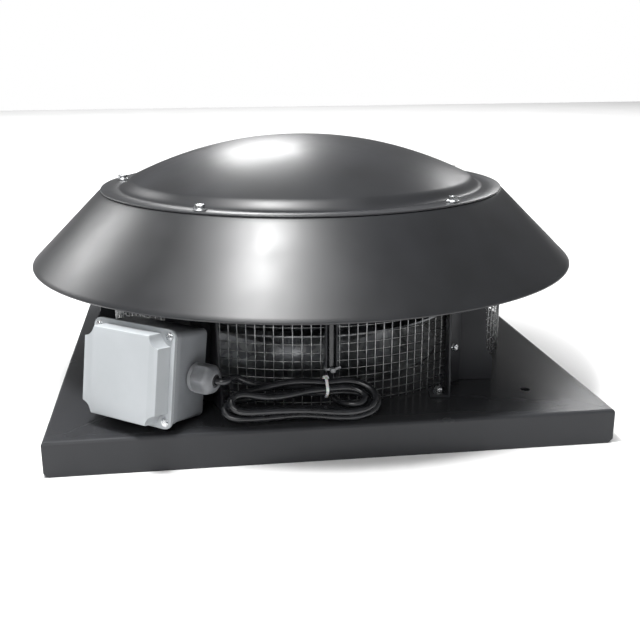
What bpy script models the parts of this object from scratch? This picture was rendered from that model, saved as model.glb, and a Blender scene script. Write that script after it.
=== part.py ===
"""Roof exhaust fan: a square base pan, a conical weather hood, a wire guard, five folded supports, a
centrifugal impeller on an external rotor motor, and a terminal box with its cable.

Metres, +Z up. The origin is under the middle of the base pan, on the surface that it stands on, and -Y is
the front. Run it with blender --background --python part.py.
"""

import math

import bmesh
import bpy
from mathutils import Matrix, Vector

GAP = 0.0003

# Base pan
PAN_SIDE = 0.595
PAN_DEPTH = 0.038
PAN_SHEET = 0.002
PAN_BEND = 0.003
PAN_CORNER_CUT = 0.005
MOUNT_PITCH = 0.450
MOUNT_HOLE = 0.0055
INLET_HOLE = 0.150
TOP = PAN_DEPTH  # height of the pan's top face

# Inlet cone, from its flange on the pan to its throat in the impeller
CONE_FLANGE = 0.176
THROAT = 0.121
THROAT_TOP = TOP + 0.052

# Hood and cap
HOOD_SHEET = 0.0016
HOOD_RIM = 0.336
HOOD_RIM_Z = TOP + 0.121
HOOD_TOP = 0.2495
HOOD_TOP_Z = TOP + 0.2065
HOOD_INNER = 0.212
CAP_EDGE = 0.2490
CAP_FOOT = 0.227
CAP_CROWN = 0.210
DOME_RADIUS = 0.233
DOME_HEIGHT = 0.0590
DOME_POWER = 2.08
CAP_BOLT_CIRCLE = 0.235
TURN_STEPS = 48

# Supports: a web facing outwards with a leg splayed at each side
SUPPORTS = {
    "front_left": -124,
    "front_right": -52,
    "right": 20,
    "back": 92,
    "left": 164,
}
SHEET = 0.002
WEB_RADIUS = 0.2440
WEB_HALF = 0.0135
LEG_RISE = 0.0265
LEG_RUN = 0.0285
SUPPORT_TOP = HOOD_TOP_Z - HOOD_SHEET - GAP
FLARE_Z = 0.026
FOOT_BOLT = (0.2545, 0.0405)
FOOT_TAB = (0.022, 0.021)

# Guard
GUARD_RADIUS = 0.2395
GUARD_WALL = 0.0008
GUARD_TOP = TOP + 0.150
CHANNEL_WIDTH = 0.0125
CHANNEL_DEPTH = 0.0095
CHANNEL_FOOT = TOP + 0.038

# Motor and impeller
IMPELLER_RADIUS = 0.200
BACKPLATE_Z = TOP + 0.140
SHROUD_EYE = 0.1275
SHROUD_EYE_Z = TOP + 0.040
SHROUD_RIM_Z = TOP + 0.064
BLADES = 7
BLADE_WALL = 0.0016
ROTOR_RADIUS = 0.070
ROTOR_FOOT = TOP + 0.085
STATOR_RADIUS = 0.060
SHAFT_RADIUS = 0.006
SPIDER_Z = TOP + 0.1763
SPIDER_DISC = 0.100
SPIDER_ARM = 0.036

# Terminal box, on a frame of its own: x to its right, y into its depth, z up its lid
BOX_AZIMUTH = math.radians(-128)
BOX_TILT = math.radians(9)
BOX_FACE = Vector((-0.2190, -0.2790, TOP + 0.0600))
BOX_WIDTH, BOX_HEIGHT = 0.105, 0.101
PANEL_WIDTH, PANEL_HEIGHT = 0.0957, 0.0915
LID_DEPTH = 0.0235
LID_FLANGE = 0.004
GASKET = 0.0016
BOX_DEPTH = 0.0760
BASE_WIDTH, BASE_HEIGHT = 0.1020, 0.0950
BOX_WALL = 0.003
SCOOP = 0.0135
LID_SCREW = (0.0455, 0.0435)
GLAND_DEPTH = 0.058
GLAND_UP = -0.0015
GLAND_ACROSS_FLATS = 0.029

# Cable, and its hank: an oval that leans from the pan against the guard
CABLE = 0.0075
HANK_MIDDLE = Vector((-0.0285, -0.2715, TOP + 0.0228))
HANK_LENGTH = 0.168
HANK_HEIGHT = 0.050
HANK_BAND = 0.018
HANK_THICKNESS = 0.0155
HANK_LEAN = math.radians(40)
TIE_X = -0.0095


# ---------------------------------------------------------------- tools

def material(name, colour, roughness, metallic=0.0):
    made = bpy.data.materials.new(name)
    made.use_nodes = True
    shader = made.node_tree.nodes["Principled BSDF"]
    shader.inputs["Base Color"].default_value = (*colour, 1.0)
    shader.inputs["Roughness"].default_value = roughness
    shader.inputs["Metallic"].default_value = metallic
    made.diffuse_color = (*colour, 1.0)
    return made


def add_object(name, mesh, finish, place=None):
    if finish and not mesh.materials:
        mesh.materials.append(finish)
    mesh.shade_smooth()
    mesh.set_sharp_from_angle(angle=math.radians(32))
    obj = bpy.data.objects.new(name, mesh)
    bpy.context.scene.collection.objects.link(obj)
    if place is not None:
        obj.matrix_world = place
    return obj


def finish_mesh(bm, name):
    bmesh.ops.remove_doubles(bm, verts=bm.verts, dist=1e-6)
    bmesh.ops.recalc_face_normals(bm, faces=bm.faces)
    mesh = bpy.data.meshes.new(name)
    bm.to_mesh(mesh)
    bm.free()
    return mesh


def turned(name, profile, finish, steps=TURN_STEPS, place=None):
    """A closed profile of (radius, height) points, spun round Z."""
    bm = bmesh.new()
    points = [bm.verts.new((radius, 0, height)) for radius, height in profile]
    pairs = [(points[i - 1], points[i]) for i in range(len(points))]
    edges = [bm.edges.new(pair) for pair in pairs if max(v.co.x for v in pair) > 1e-6]
    bmesh.ops.spin(
        bm, geom=points + edges, cent=(0, 0, 0), axis=(0, 0, 1), angle=math.tau, steps=steps, use_merge=True
    )
    return add_object(name, finish_mesh(bm, name), finish, place)


def disc(name, radius, low, high, finish, steps=TURN_STEPS, hole=0.0, place=None):
    profile = [(hole, low), (radius, low), (radius, high), (hole, high)]
    return turned(name, profile, finish, steps, place)


def slab(name, outline, low, high, finish, place=None, bevel=0.0):
    """A flat outline of (x, y) points, extruded from low to high along Z."""
    bm = bmesh.new()
    face = bm.faces.new([bm.verts.new((x, y, low)) for x, y in outline])
    grown = bmesh.ops.extrude_face_region(bm, geom=[face])
    risen = [v for v in grown["geom"] if isinstance(v, bmesh.types.BMVert)]
    bmesh.ops.translate(bm, verts=risen, vec=(0, 0, high - low))
    if bevel:
        bmesh.ops.recalc_face_normals(bm, faces=bm.faces)
        rims = [e for e in bm.edges if abs(e.verts[0].co.z - e.verts[1].co.z) < 1e-7]
        bmesh.ops.bevel(bm, geom=rims, offset=bevel, segments=2, profile=0.5, affect="EDGES")
    return add_object(name, finish_mesh(bm, name), finish, place)


def rectangle(width, height, centre=(0, 0)):
    x, y = centre
    return [
        (x - width / 2, y - height / 2),
        (x + width / 2, y - height / 2),
        (x + width / 2, y + height / 2),
        (x - width / 2, y + height / 2),
    ]


def rounded(width, height, radius, steps=4):
    """A rectangle with round corners."""
    points = []
    for turn, (sx, sy) in enumerate([(1, 1), (-1, 1), (-1, -1), (1, -1)]):
        for k in range(steps + 1):
            angle = math.radians(90 * (turn + k / steps))
            x = sx * (width / 2 - radius) + radius * math.cos(angle)
            y = sy * (height / 2 - radius) + radius * math.sin(angle)
            points.append((x, y))
    return points


def combine(target, tools, operation):
    """Booleans a list of helpers into an object and hides them."""
    for tool in tools:
        tool.hide_render = True
        tool.display_type = "WIRE"
        tool.hide_set(True)
        change = target.modifiers.new(tool.name, "BOOLEAN")
        change.operation = operation
        change.object = tool
    return target


def cut(target, *tools):
    return combine(target, tools, "DIFFERENCE")


def join(target, *tools):
    return combine(target, tools, "UNION")


def around(degrees, radius=0.0, height=0.0):
    """A frame at an azimuth: x outwards, y round, z up."""
    turn = Matrix.Rotation(math.radians(degrees), 4, "Z")
    return turn @ Matrix.Translation((radius, 0, height))


def bolt_mesh(name, across, head, washer, washer_height, shank, length):
    """A hexagon flange bolt along Z, its bearing face at z = 0."""
    sides = 12
    hexagon = [across / 2 / (math.cos(math.pi / 6) if k % 2 else 1) for k in range(sides)]
    rings = [(-length, [shank] * sides), (0, [shank] * sides), (0, [washer] * sides)]
    rings += [(washer_height, [washer] * sides), (washer_height, hexagon), (washer_height + head, hexagon)]
    bm = bmesh.new()
    made = []
    for height, radii in rings:
        angles = [math.tau * k / sides for k in range(sides)]
        made.append([bm.verts.new((r * math.cos(a), r * math.sin(a), height)) for r, a in zip(radii, angles)])
    for low, high in zip(made, made[1:]):
        for k in range(sides):
            bm.faces.new((low[k - 1], low[k], high[k], high[k - 1]))
    bm.faces.new(made[0])
    bm.faces.new(made[-1])
    return finish_mesh(bm, name)


def smooth_points(route, spacing):
    """Points a given distance apart on the centripetal curve through the route's points."""
    points = [Vector(p) for p in route]
    points = [2 * points[0] - points[1], *points, 2 * points[-1] - points[-2]]
    fine = []
    for a, b, c, d in zip(points, points[1:], points[2:], points[3:]):
        knots = [0.0]
        for p, q in ((a, b), (b, c), (c, d)):
            knots.append(knots[-1] + max((q - p).length, 1e-6) ** 0.5)
        for k in range(24):
            t = knots[1] + (knots[2] - knots[1]) * k / 24

            def mix(p, q, i, j):
                return p.lerp(q, (t - knots[i]) / (knots[j] - knots[i]))

            ab, bc, cd = mix(a, b, 0, 1), mix(b, c, 1, 2), mix(c, d, 2, 3)
            fine.append(mix(mix(ab, bc, 0, 2), mix(bc, cd, 1, 3), 1, 2))
    fine.append(points[-2])
    spaced = [fine[0]]
    for p in fine[1:]:
        if (p - spaced[-1]).length >= spacing:
            spaced.append(p)
    if (spaced[-1] - fine[-1]).length < spacing / 2:
        spaced.pop()
    return [*spaced, fine[-1]]


def cable_tube(name, route, finish):
    curve = bpy.data.curves.new(name, "CURVE")
    curve.dimensions = "3D"
    curve.bevel_depth = CABLE / 2
    curve.bevel_resolution = 2
    curve.use_fill_caps = True
    points = smooth_points(route, 2.2 * CABLE)
    spline = curve.splines.new("POLY")
    spline.points.add(len(points) - 1)
    for slot, point in zip(spline.points, points):
        slot.co = (*point, 1.0)
    curve.materials.append(finish)
    obj = bpy.data.objects.new(name, curve)
    bpy.context.scene.collection.objects.link(obj)
    return obj


# ---------------------------------------------------------------- base and inlet

def make_base_pan(paint):
    bm = bmesh.new()
    bmesh.ops.create_cube(bm, size=1)
    bmesh.ops.scale(bm, verts=bm.verts, vec=(PAN_SIDE, PAN_SIDE, PAN_DEPTH))
    bmesh.ops.translate(bm, verts=bm.verts, vec=(0, 0, PAN_DEPTH / 2))
    corners = [v for v in bm.verts if v.co.z < PAN_DEPTH / 2]
    bmesh.ops.bevel(bm, geom=corners, offset=PAN_CORNER_CUT, segments=1, affect="VERTICES")
    rims = [e for e in bm.edges if min(v.co.z for v in e.verts) > PAN_DEPTH - 1e-6]
    bmesh.ops.bevel(bm, geom=rims, offset=PAN_BEND, segments=2, profile=0.5, affect="EDGES")
    pan = add_object("base_pan", finish_mesh(bm, "base_pan"), paint)
    side = PAN_SIDE - 2 * PAN_SHEET
    tools = [slab("pan_hollow", rectangle(side, side), -0.01, PAN_DEPTH - PAN_SHEET, None)]
    low, high = PAN_DEPTH - 2 * PAN_SHEET, PAN_DEPTH + 0.01
    tools.append(disc("pan_inlet", INLET_HOLE, low, high, None, 48))
    for x in (-MOUNT_PITCH / 2, MOUNT_PITCH / 2):
        for y in (-MOUNT_PITCH / 2, MOUNT_PITCH / 2):
            place = Matrix.Translation((x, y, 0))
            tools.append(disc(f"pan_mount_{x}_{y}", MOUNT_HOLE, low, high, None, 16, place=place))
    for label, azimuth in SUPPORTS.items():
        for side in (-1, 1):
            place = around(azimuth, FOOT_BOLT[0]) @ Matrix.Translation((0, side * FOOT_BOLT[1], 0))
            tools.append(disc(f"pan_bolt_{label}_{side}", 0.0033, low, high, None, 8, place=place))
    return cut(pan, *tools)


def make_inlet_cone(metal):
    wall = 0.0012
    bell = []
    for k in range(6):
        angle = math.radians(90 * k / 5)
        radius = THROAT + 0.026 * (1 - math.sin(angle))
        bell.append((radius, TOP + 0.002 + 0.040 * (1 - math.cos(angle))))
    outer = [(CONE_FLANGE, TOP + GAP), (THROAT + 0.026 + 0.003, TOP + GAP), *bell[1:], (THROAT, THROAT_TOP)]
    inner = [(radius + wall, height + wall) for radius, height in outer[1:-1]]
    back = [(CONE_FLANGE, TOP + GAP + wall), *inner, (THROAT + wall, THROAT_TOP)]
    return turned("inlet_cone", [*outer, *reversed(back)], metal, 40)


# ---------------------------------------------------------------- supports, guard

LEG_TURN = math.atan2(LEG_RUN, LEG_RISE)
LEG_LENGTH = math.hypot(LEG_RUN, LEG_RISE)


def leg_corner(inset):
    """The point at which a leg leaves the web, at a depth in the sheet, and the two directions there."""
    along = Vector((math.cos(LEG_TURN), math.sin(LEG_TURN)))
    inside = Vector((math.sin(LEG_TURN), -math.cos(LEG_TURN)))
    slip = inset * (1 - inside.x) / along.x
    return Vector((WEB_RADIUS - SHEET, WEB_HALF)) + inset * inside + slip * along, along, inside


def hat_section(length):
    """The support's folded section with legs of a given length, as (x, y) points."""
    outer, along, inside = leg_corner(0)
    inner = leg_corner(SHEET)[0]
    tip = outer + length * along
    half = [outer, tip, tip + SHEET * inside, inner]
    return [*half, *(Vector((p.x, -p.y)) for p in reversed(half))]


def leg_frame(side):
    """On a support: x along the leg from the web, y across its sheet, z up."""
    corner = leg_corner(SHEET / 2)[0]
    return Matrix.Translation((corner.x, side * corner.y, 0)) @ Matrix.Rotation(side * LEG_TURN, 4, "Z")


def make_support(label, azimuth, paint):
    name = f"support_{label}"
    place = around(azimuth)
    foot = TOP + GAP
    taper = [
        (foot + 0.0005, LEG_LENGTH),
        (TOP + FLARE_Z, LEG_LENGTH),
        (TOP + FLARE_Z + 0.013, LEG_LENGTH - 0.0075),
        (TOP + 0.082, LEG_LENGTH - 0.0105),
        (SUPPORT_TOP - 0.020, LEG_LENGTH - 0.0210),
        (SUPPORT_TOP - 0.0005, LEG_LENGTH - 0.0362),
    ]
    bm = bmesh.new()
    rings = [[bm.verts.new((p.x, p.y, height)) for p in hat_section(length)] for height, length in taper]
    for low, high in zip(rings, rings[1:]):
        for k in range(8):
            bm.faces.new((low[k - 1], low[k], high[k], high[k - 1]))
    bm.faces.new(rings[0])
    bm.faces.new(rings[-1])
    support = add_object(name, finish_mesh(bm, name), paint, place)
    tools = []
    for side in (-1, 1):
        along, across = FOOT_TAB
        middle = (LEG_LENGTH - 0.0005 - along / 2, side * (across / 2 - SHEET / 4))
        tab = rectangle(along, across, middle)
        tools.append(slab(f"tab_{label}_{side}", tab, foot, foot + SHEET, None, place @ leg_frame(side)))
    ear = rectangle(0.028, 2 * WEB_HALF - 0.0006, (WEB_RADIUS - 0.0147, 0))
    tools.append(slab(f"ear_{label}", ear, SUPPORT_TOP - SHEET, SUPPORT_TOP, None, place))
    join(support, *tools)
    holes = [disc(f"ear_hole_{label}", 0.0033, 0.1, 0.3, None, 8, place=around(azimuth, CAP_BOLT_CIRCLE))]
    for side in (-1, 1):
        spot = around(azimuth, FOOT_BOLT[0]) @ Matrix.Translation((0, side * FOOT_BOLT[1], 0))
        holes.append(disc(f"tab_hole_{label}_{side}", 0.0033, TOP - 0.01, TOP + 0.01, None, 8, place=spot))
    return cut(support, *holes)


def make_guard(wire, paint):
    outer = GUARD_RADIUS + GUARD_WALL / 2
    profile = [
        (outer - GUARD_WALL, TOP + GAP),
        (outer, TOP + GAP),
        (outer, GUARD_TOP),
        (outer - GUARD_WALL, GUARD_TOP),
    ]
    turned("wire_guard", profile, wire, 48)
    back = -(outer + 0.0007)
    half, wall = CHANNEL_WIDTH / 2, 0.0012
    outline = [
        (-half, back - CHANNEL_DEPTH),
        (-half + wall, back - CHANNEL_DEPTH),
        (-half + wall, back - wall),
        (half - wall, back - wall),
        (half - wall, back - CHANNEL_DEPTH),
        (half, back - CHANNEL_DEPTH),
        (half, back),
        (-half, back),
    ]
    return slab("cable_channel", outline, CHANNEL_FOOT, GUARD_TOP - 0.012, paint)


# ---------------------------------------------------------------- hood

def make_hood_cone(paint):
    fall = Vector((HOOD_RIM - HOOD_TOP, HOOD_RIM_Z - HOOD_TOP_Z)).normalized()
    inwards = Vector((fall.y, -fall.x))
    round_off = 0.003
    high = HOOD_TOP_Z
    outer = [
        (HOOD_RIM, HOOD_RIM_Z),
        (HOOD_TOP + round_off * fall.x, high + round_off * fall.y),
        (HOOD_TOP - 0.0012, high - 0.0006),
        (HOOD_TOP - round_off, high),
        (HOOD_INNER, high),
    ]
    shoulder = Vector(outer[1]) + HOOD_SHEET * inwards
    rim = Vector(outer[0]) + HOOD_SHEET * inwards
    hem = Vector((-0.0035, 0.0006))
    inner = [
        (HOOD_INNER, high - HOOD_SHEET),
        (HOOD_TOP - round_off - 0.0008, high - HOOD_SHEET),
        (shoulder.x - 0.0006, shoulder.y),
        (rim.x - 0.0012, rim.y + 0.0030),
        (HOOD_RIM + hem.x, HOOD_RIM_Z + hem.y + 0.0014),
        (HOOD_RIM + hem.x, HOOD_RIM_Z + hem.y),
    ]
    hood = turned("hood_cone", [*outer, *inner], paint)
    return cut(hood, *bolt_holes("hood_hole"))


def bolt_holes(name):
    low, high = HOOD_TOP_Z - 0.01, HOOD_TOP_Z + 0.01
    return [
        disc(f"{name}_{label}", 0.0033, low, high, None, 8, place=around(azimuth, CAP_BOLT_CIRCLE))
        for label, azimuth in SUPPORTS.items()
    ]


def cap_height(radius):
    """Height of the cap above its flange: a dome that runs out in a hollow curve."""
    def dome(r):
        return DOME_HEIGHT * (1 - (r / DOME_RADIUS) ** DOME_POWER)

    if radius <= CAP_CROWN:
        return dome(radius)
    if radius >= CAP_FOOT:
        return 0.0
    slope = (dome(CAP_CROWN + 1e-5) - dome(CAP_CROWN - 1e-5)) / 2e-5
    span = CAP_FOOT - CAP_CROWN
    t = (radius - CAP_CROWN) / span
    hermite = dome(CAP_CROWN) * (2 * t**3 - 3 * t**2 + 1) + span * slope * (t**3 - 2 * t**2 + t)
    return hermite


def make_hood_cap(paint):
    seat = HOOD_TOP_Z + GAP
    radii = [CAP_EDGE, CAP_FOOT, 0.2205, 0.215, CAP_CROWN, 0.190, 0.155, 0.105, 0.050, 0.0]
    outer = [(r, seat + HOOD_SHEET + cap_height(r)) for r in radii]
    inner = [(r, seat + cap_height(r) * 0.999) for r in radii]
    cap = turned("hood_cap", [*outer, *reversed(inner)], paint)
    return cut(cap, *bolt_holes("cap_hole"))


def make_hood_bolts(zinc):
    head = bolt_mesh("cap_bolt", 0.0098, 0.0052, 0.0078, 0.0016, 0.003, 0.0105)
    seat = HOOD_TOP_Z + 2 * GAP + HOOD_SHEET
    for label, azimuth in SUPPORTS.items():
        add_object(f"cap_bolt_{label}", head, zinc, around(azimuth, CAP_BOLT_CIRCLE, seat))


def make_foot_bolts(zinc):
    head = bolt_mesh("foot_bolt", 0.0088, 0.0048, 0.0068, 0.0014, 0.003, 0.0085)
    seat = TOP + 2 * GAP + SHEET
    for label, azimuth in SUPPORTS.items():
        for side, word in ((-1, "a"), (1, "b")):
            place = around(azimuth, FOOT_BOLT[0], seat) @ Matrix.Translation((0, side * FOOT_BOLT[1], 0))
            add_object(f"foot_bolt_{label}_{word}", head, zinc, place)


# ---------------------------------------------------------------- motor and impeller

def make_spider(paint):
    low, high = SPIDER_Z, SPIDER_Z + SHEET
    reach = WEB_RADIUS - SHEET - GAP
    half = SPIDER_ARM * 0.35
    outline = []
    for azimuth in sorted(SUPPORTS.values()):
        shoulder = math.degrees(math.asin(half / SPIDER_DISC))
        for step in range(5):
            angle = math.radians(azimuth - 72 + shoulder + (72 - 2 * shoulder) * step / 4)
            outline.append((SPIDER_DISC * math.cos(angle), SPIDER_DISC * math.sin(angle)))
        for side in (-half, half):
            corner = around(azimuth) @ Vector((reach, side, 0))
            outline.append((corner.x, corner.y))
    spider = slab("motor_spider", outline, low, high, paint)
    tools = []
    for label, azimuth in SUPPORTS.items():
        lip = rectangle(SHEET, 1.9 * half, (reach - SHEET / 2 - 0.0001, 0))
        tools.append(slab(f"arm_lip_{label}", lip, low - 0.016, low + 0.001, None, around(azimuth)))
    return join(spider, *tools)


def make_motor(cast, steel, copper, rubber):
    flange_low, flange_high = TOP + 0.154, SPIDER_Z - GAP
    profile = [
        (0.0124, TOP + 0.095),
        (0.0168, TOP + 0.095),
        (0.0168, flange_low),
        (0.062, flange_low),
        (0.068, flange_low + 0.004),
        (0.068, flange_high),
        (0.0124, flange_high),
    ]
    flange = turned("stator_flange", profile, cast, 40)
    entry = disc("cable_entry", 0.0062, 0, 0.02, None, 16, place=entry_frame())
    cut(flange, entry)
    disc("stator_core", STATOR_RADIUS, TOP + 0.098, TOP + 0.146, copper, 36, hole=0.0172)
    for name, low in (("bearing_lower", TOP + 0.098), ("bearing_upper", TOP + 0.150)):
        disc(name, 0.0121, low, low + 0.009, steel, 24, hole=SHAFT_RADIUS + GAP)
    rim = ROTOR_FOOT + 0.062
    can = [
        (0, ROTOR_FOOT),
        (0.060, ROTOR_FOOT),
        (ROTOR_RADIUS, ROTOR_FOOT + 0.010),
        (ROTOR_RADIUS, BACKPLATE_Z + 0.002 + GAP),
        (0.084, BACKPLATE_Z + 0.002 + GAP),
        (0.084, rim - 0.0005),
        (0.0665, rim - 0.0005),
        (0.0665, ROTOR_FOOT + 0.010),
        (0.0585, ROTOR_FOOT + 0.003),
        (SHAFT_RADIUS, ROTOR_FOOT + 0.003),
        (SHAFT_RADIUS, ROTOR_FOOT + 0.0025),
        (0, ROTOR_FOOT + 0.0025),
    ]
    turned("rotor_can", can, cast, 32)
    disc("motor_shaft", SHAFT_RADIUS, ROTOR_FOOT + 0.0035, flange_high - 0.004, steel, 20)
    disc("cable_grommet", 0.0060, 0.0065, 0.0150, rubber, 16, hole=CABLE / 2 + GAP, place=entry_frame())


def entry_frame():
    """At the motor's front: z runs outwards along the cable's way into the flange."""
    place = Matrix.Translation((0, -0.054, TOP + 0.1665))
    return place @ Matrix.Rotation(math.radians(90), 4, "X")


def shroud_height(radius):
    """The shroud's underside, curving from its eye out to its rim."""
    t = (radius - SHROUD_EYE) / (IMPELLER_RADIUS - SHROUD_EYE)
    return SHROUD_EYE_Z + (SHROUD_RIM_Z - SHROUD_EYE_Z) * math.sin(math.radians(90) * max(0.0, t)) ** 0.8


def make_impeller(alloy):
    disc("impeller_backplate", IMPELLER_RADIUS, BACKPLATE_Z, BACKPLATE_Z + 0.002, alloy, 48, hole=0.0745)
    radii = [SHROUD_EYE + (IMPELLER_RADIUS - SHROUD_EYE) * k / 4 for k in range(5)]
    under = [(r, shroud_height(r)) for r in radii]
    over = [(r, shroud_height(r) + 0.002) for r in radii]
    collar = [(SHROUD_EYE, SHROUD_EYE_Z - 0.006), (SHROUD_EYE + 0.0016, SHROUD_EYE_Z - 0.006)]
    profile = [*collar, (SHROUD_EYE + 0.0016, SHROUD_EYE_Z - 0.0004), *under[1:], *reversed(over)]
    turned("impeller_shroud", profile, alloy, 48)
    inner, outer = 0.133, IMPELLER_RADIUS - 0.003
    sweep = math.radians(38)
    steps = 8
    for n in range(BLADES):
        start = math.tau * n / BLADES
        line = []
        for k in range(steps + 1):
            t = k / steps
            radius = inner + (outer - inner) * t
            angle = start - sweep * (1.25 * t - 0.25 * t * t)
            line.append(Vector((radius * math.cos(angle), radius * math.sin(angle))))
        make_blade(f"impeller_blade_{n + 1}", line, alloy)


def make_blade(name, line, alloy):
    bm = bmesh.new()
    rows = []
    for k, point in enumerate(line):
        ahead = line[min(k + 1, len(line) - 1)] - line[max(k - 1, 0)]
        across = Vector((-ahead.y, ahead.x)).normalized() * BLADE_WALL / 2
        low = shroud_height(point.length) + 0.0026
        high = BACKPLATE_Z - GAP
        sides = [point - across, point + across]
        row = [bm.verts.new((p.x, p.y, z)) for p, z in ((sides[0], low), (sides[1], low), (sides[1], high))]
        row.append(bm.verts.new((sides[0].x, sides[0].y, high)))
        rows.append(row)
    for one, two in zip(rows, rows[1:]):
        for k in range(4):
            bm.faces.new((one[k - 1], one[k], two[k], two[k - 1]))
    bm.faces.new(rows[0])
    bm.faces.new(rows[-1])
    return add_object(name, finish_mesh(bm, name), alloy)


# ---------------------------------------------------------------- terminal box

def box_frame():
    facing = Vector((math.cos(BOX_AZIMUTH), math.sin(BOX_AZIMUTH), 0))
    right = Vector((-facing.y, facing.x, 0))
    facing = facing * math.cos(BOX_TILT) + Vector((0, 0, math.sin(BOX_TILT)))
    up = facing.cross(right)
    frame = Matrix((right, -facing, up)).transposed().to_4x4()
    return Matrix.Translation(BOX_FACE) @ frame


def box_slab(name, outline, near, far, finish, bevel=0.0):
    """An outline across the box's face, from one depth to another."""
    stand = Matrix.Rotation(math.radians(90), 4, "X")
    return slab(name, outline, -far, -near, finish, box_frame() @ stand, bevel)


def make_box_lid(plastic):
    flange_front = LID_DEPTH - LID_FLANGE
    outline = rounded(BOX_WIDTH, BOX_HEIGHT, 0.008)
    lid = box_slab("box_lid", outline, flange_front, LID_DEPTH, plastic)
    panel = box_slab("lid_panel", rounded(PANEL_WIDTH, PANEL_HEIGHT, 0.002, 1), 0, LID_DEPTH - 0.001, None)
    tools = []
    stand = Matrix.Rotation(math.radians(90), 4, "X")
    for x in (-1, 1):
        for y in (-1, 1):
            corner = Matrix.Translation((x * PANEL_WIDTH / 2, 0, y * PANEL_HEIGHT / 2))
            place = box_frame() @ corner @ stand
            name = f"lid_scoop_{x}_{y}"
            tools.append(disc(name, SCOOP, -flange_front, 0.01, None, 24, place=place))
    cut(panel, *tools)
    join(lid, panel)
    inside = box_slab("lid_inside", rectangle(0.068, 0.064), 0.003, LID_DEPTH + 0.01, None)
    return cut(lid, inside, *screw_holes("lid_hole"))


def screw_spots():
    x, y = LID_SCREW
    return {"top_left": (-x, y), "top_right": (x, y), "bottom_left": (-x, -y), "bottom_right": (x, -y)}


def screw_holes(name):
    stand = Matrix.Rotation(math.radians(90), 4, "X")
    holes = []
    for label, (x, z) in screw_spots().items():
        place = box_frame() @ Matrix.Translation((x, 0, z)) @ stand
        holes.append(disc(f"{name}_{label}", 0.0023, -0.03, 0.01, None, 8, place=place))
    return holes


def make_box_base(plastic, rubber):
    outline = rounded(BASE_WIDTH, BASE_HEIGHT, 0.006)
    seal = box_slab("box_gasket", outline, LID_DEPTH + GAP, LID_DEPTH + GASKET, rubber)
    opening = rounded(BASE_WIDTH - 0.010, BASE_HEIGHT - 0.010, 0.004, 2)
    cut(seal, box_slab("gasket_opening", opening, 0.01, 0.04, None))
    front = LID_DEPTH + GASKET + GAP
    base = box_slab("box_base", outline, front, BOX_DEPTH, plastic)
    inside = rounded(BASE_WIDTH - 2 * BOX_WALL, BASE_HEIGHT - 2 * BOX_WALL, 0.004, 2)
    hollow = box_slab("base_inside", inside, front - 0.01, BOX_DEPTH - BOX_WALL, None)
    bore = disc("gland_bore", 0.0126, -0.02, 0.01, None, 20, place=gland_frame())
    return cut(base, hollow, bore)


def gland_frame():
    """At the gland on the box's right side: z runs outwards."""
    place = Matrix.Translation((BASE_WIDTH / 2, GLAND_DEPTH, GLAND_UP))
    return box_frame() @ place @ Matrix.Rotation(math.radians(90), 4, "Y")


def make_gland(plastic, rubber):
    body = [
        (0.0080, -0.0100),
        (0.0122, -0.0100),
        (0.0122, GAP),
        (0.0150, GAP),
        (0.0150, 0.0045),
        (0.0080, 0.0045),
    ]
    turned("gland_body", body, plastic, 24, gland_frame())
    bm = bmesh.new()
    sides = 12
    corner = 1 / math.cos(math.pi / 6)
    flats = GLAND_ACROSS_FLATS / 2
    shape = [(0.0048, flats, True), (0.0190, flats, True), (0.0245, 0.0115, False), (0.0265, 0.0095, False)]
    shape += [(0.0265, 0.0062, False), (0.0048, 0.0062, False)]
    rings = []
    for height, radius, hexagon in shape:
        ring = []
        for k in range(sides):
            reach = radius * (corner if hexagon and k % 2 else 1)
            angle = math.tau * k / sides
            ring.append(bm.verts.new((reach * math.cos(angle), reach * math.sin(angle), height)))
        rings.append(ring)
    for low, high in zip(rings, [*rings[1:], rings[0]]):
        for k in range(sides):
            bm.faces.new((low[k - 1], low[k], high[k], high[k - 1]))
    add_object("gland_nut", finish_mesh(bm, "gland_nut"), plastic, gland_frame())
    disc("gland_seal", 0.0059, 0.0060, 0.0270, rubber, 16, hole=CABLE / 2 + GAP, place=gland_frame())


def make_box_fittings(zinc, terminal, paint):
    head = bolt_mesh("lid_screw", 0.0050, 0.0006, 0.0034, 0.0018, 0.0019, 0.0038)
    stand = Matrix.Rotation(math.radians(90), 4, "X")
    for label, (x, z) in screw_spots().items():
        seat = Matrix.Translation((x, LID_DEPTH - LID_FLANGE - GAP, z))
        add_object(f"lid_screw_{label}", head, zinc, box_frame() @ seat @ stand)
    back = BOX_DEPTH - BOX_WALL - GAP
    block = box_slab("terminal_block", rectangle(0.056, 0.022, (0, 0.004)), back - 0.020, back, terminal)
    slots = []
    for k in range(6):
        spot = rectangle(0.0055, 0.0075, (-0.0225 + 0.009 * k, 0.004))
        slots.append(box_slab(f"terminal_slot_{k}", spot, back - 0.03, back - 0.011, None))
    cut(block, *slots)
    near = BOX_DEPTH + GAP
    low, high = -0.0464, 0.034
    plate = rectangle(0.078, high - low, (0, (high + low) / 2))
    bracket = box_slab("box_bracket", plate, near, near + SHEET, paint)
    foot = rectangle(0.0310, 0.022, (0.2701, 0))
    tongue = slab("bracket_foot", foot, TOP + GAP, TOP + GAP + SHEET, None, around(SUPPORTS["front_left"]))
    return join(bracket, tongue)


# ---------------------------------------------------------------- cable

def hank_frame():
    """x along the hank, y up its lean, z out of its face."""
    return Matrix.Translation(HANK_MIDDLE) @ Matrix.Rotation(HANK_LEAN, 4, "X")


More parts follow.
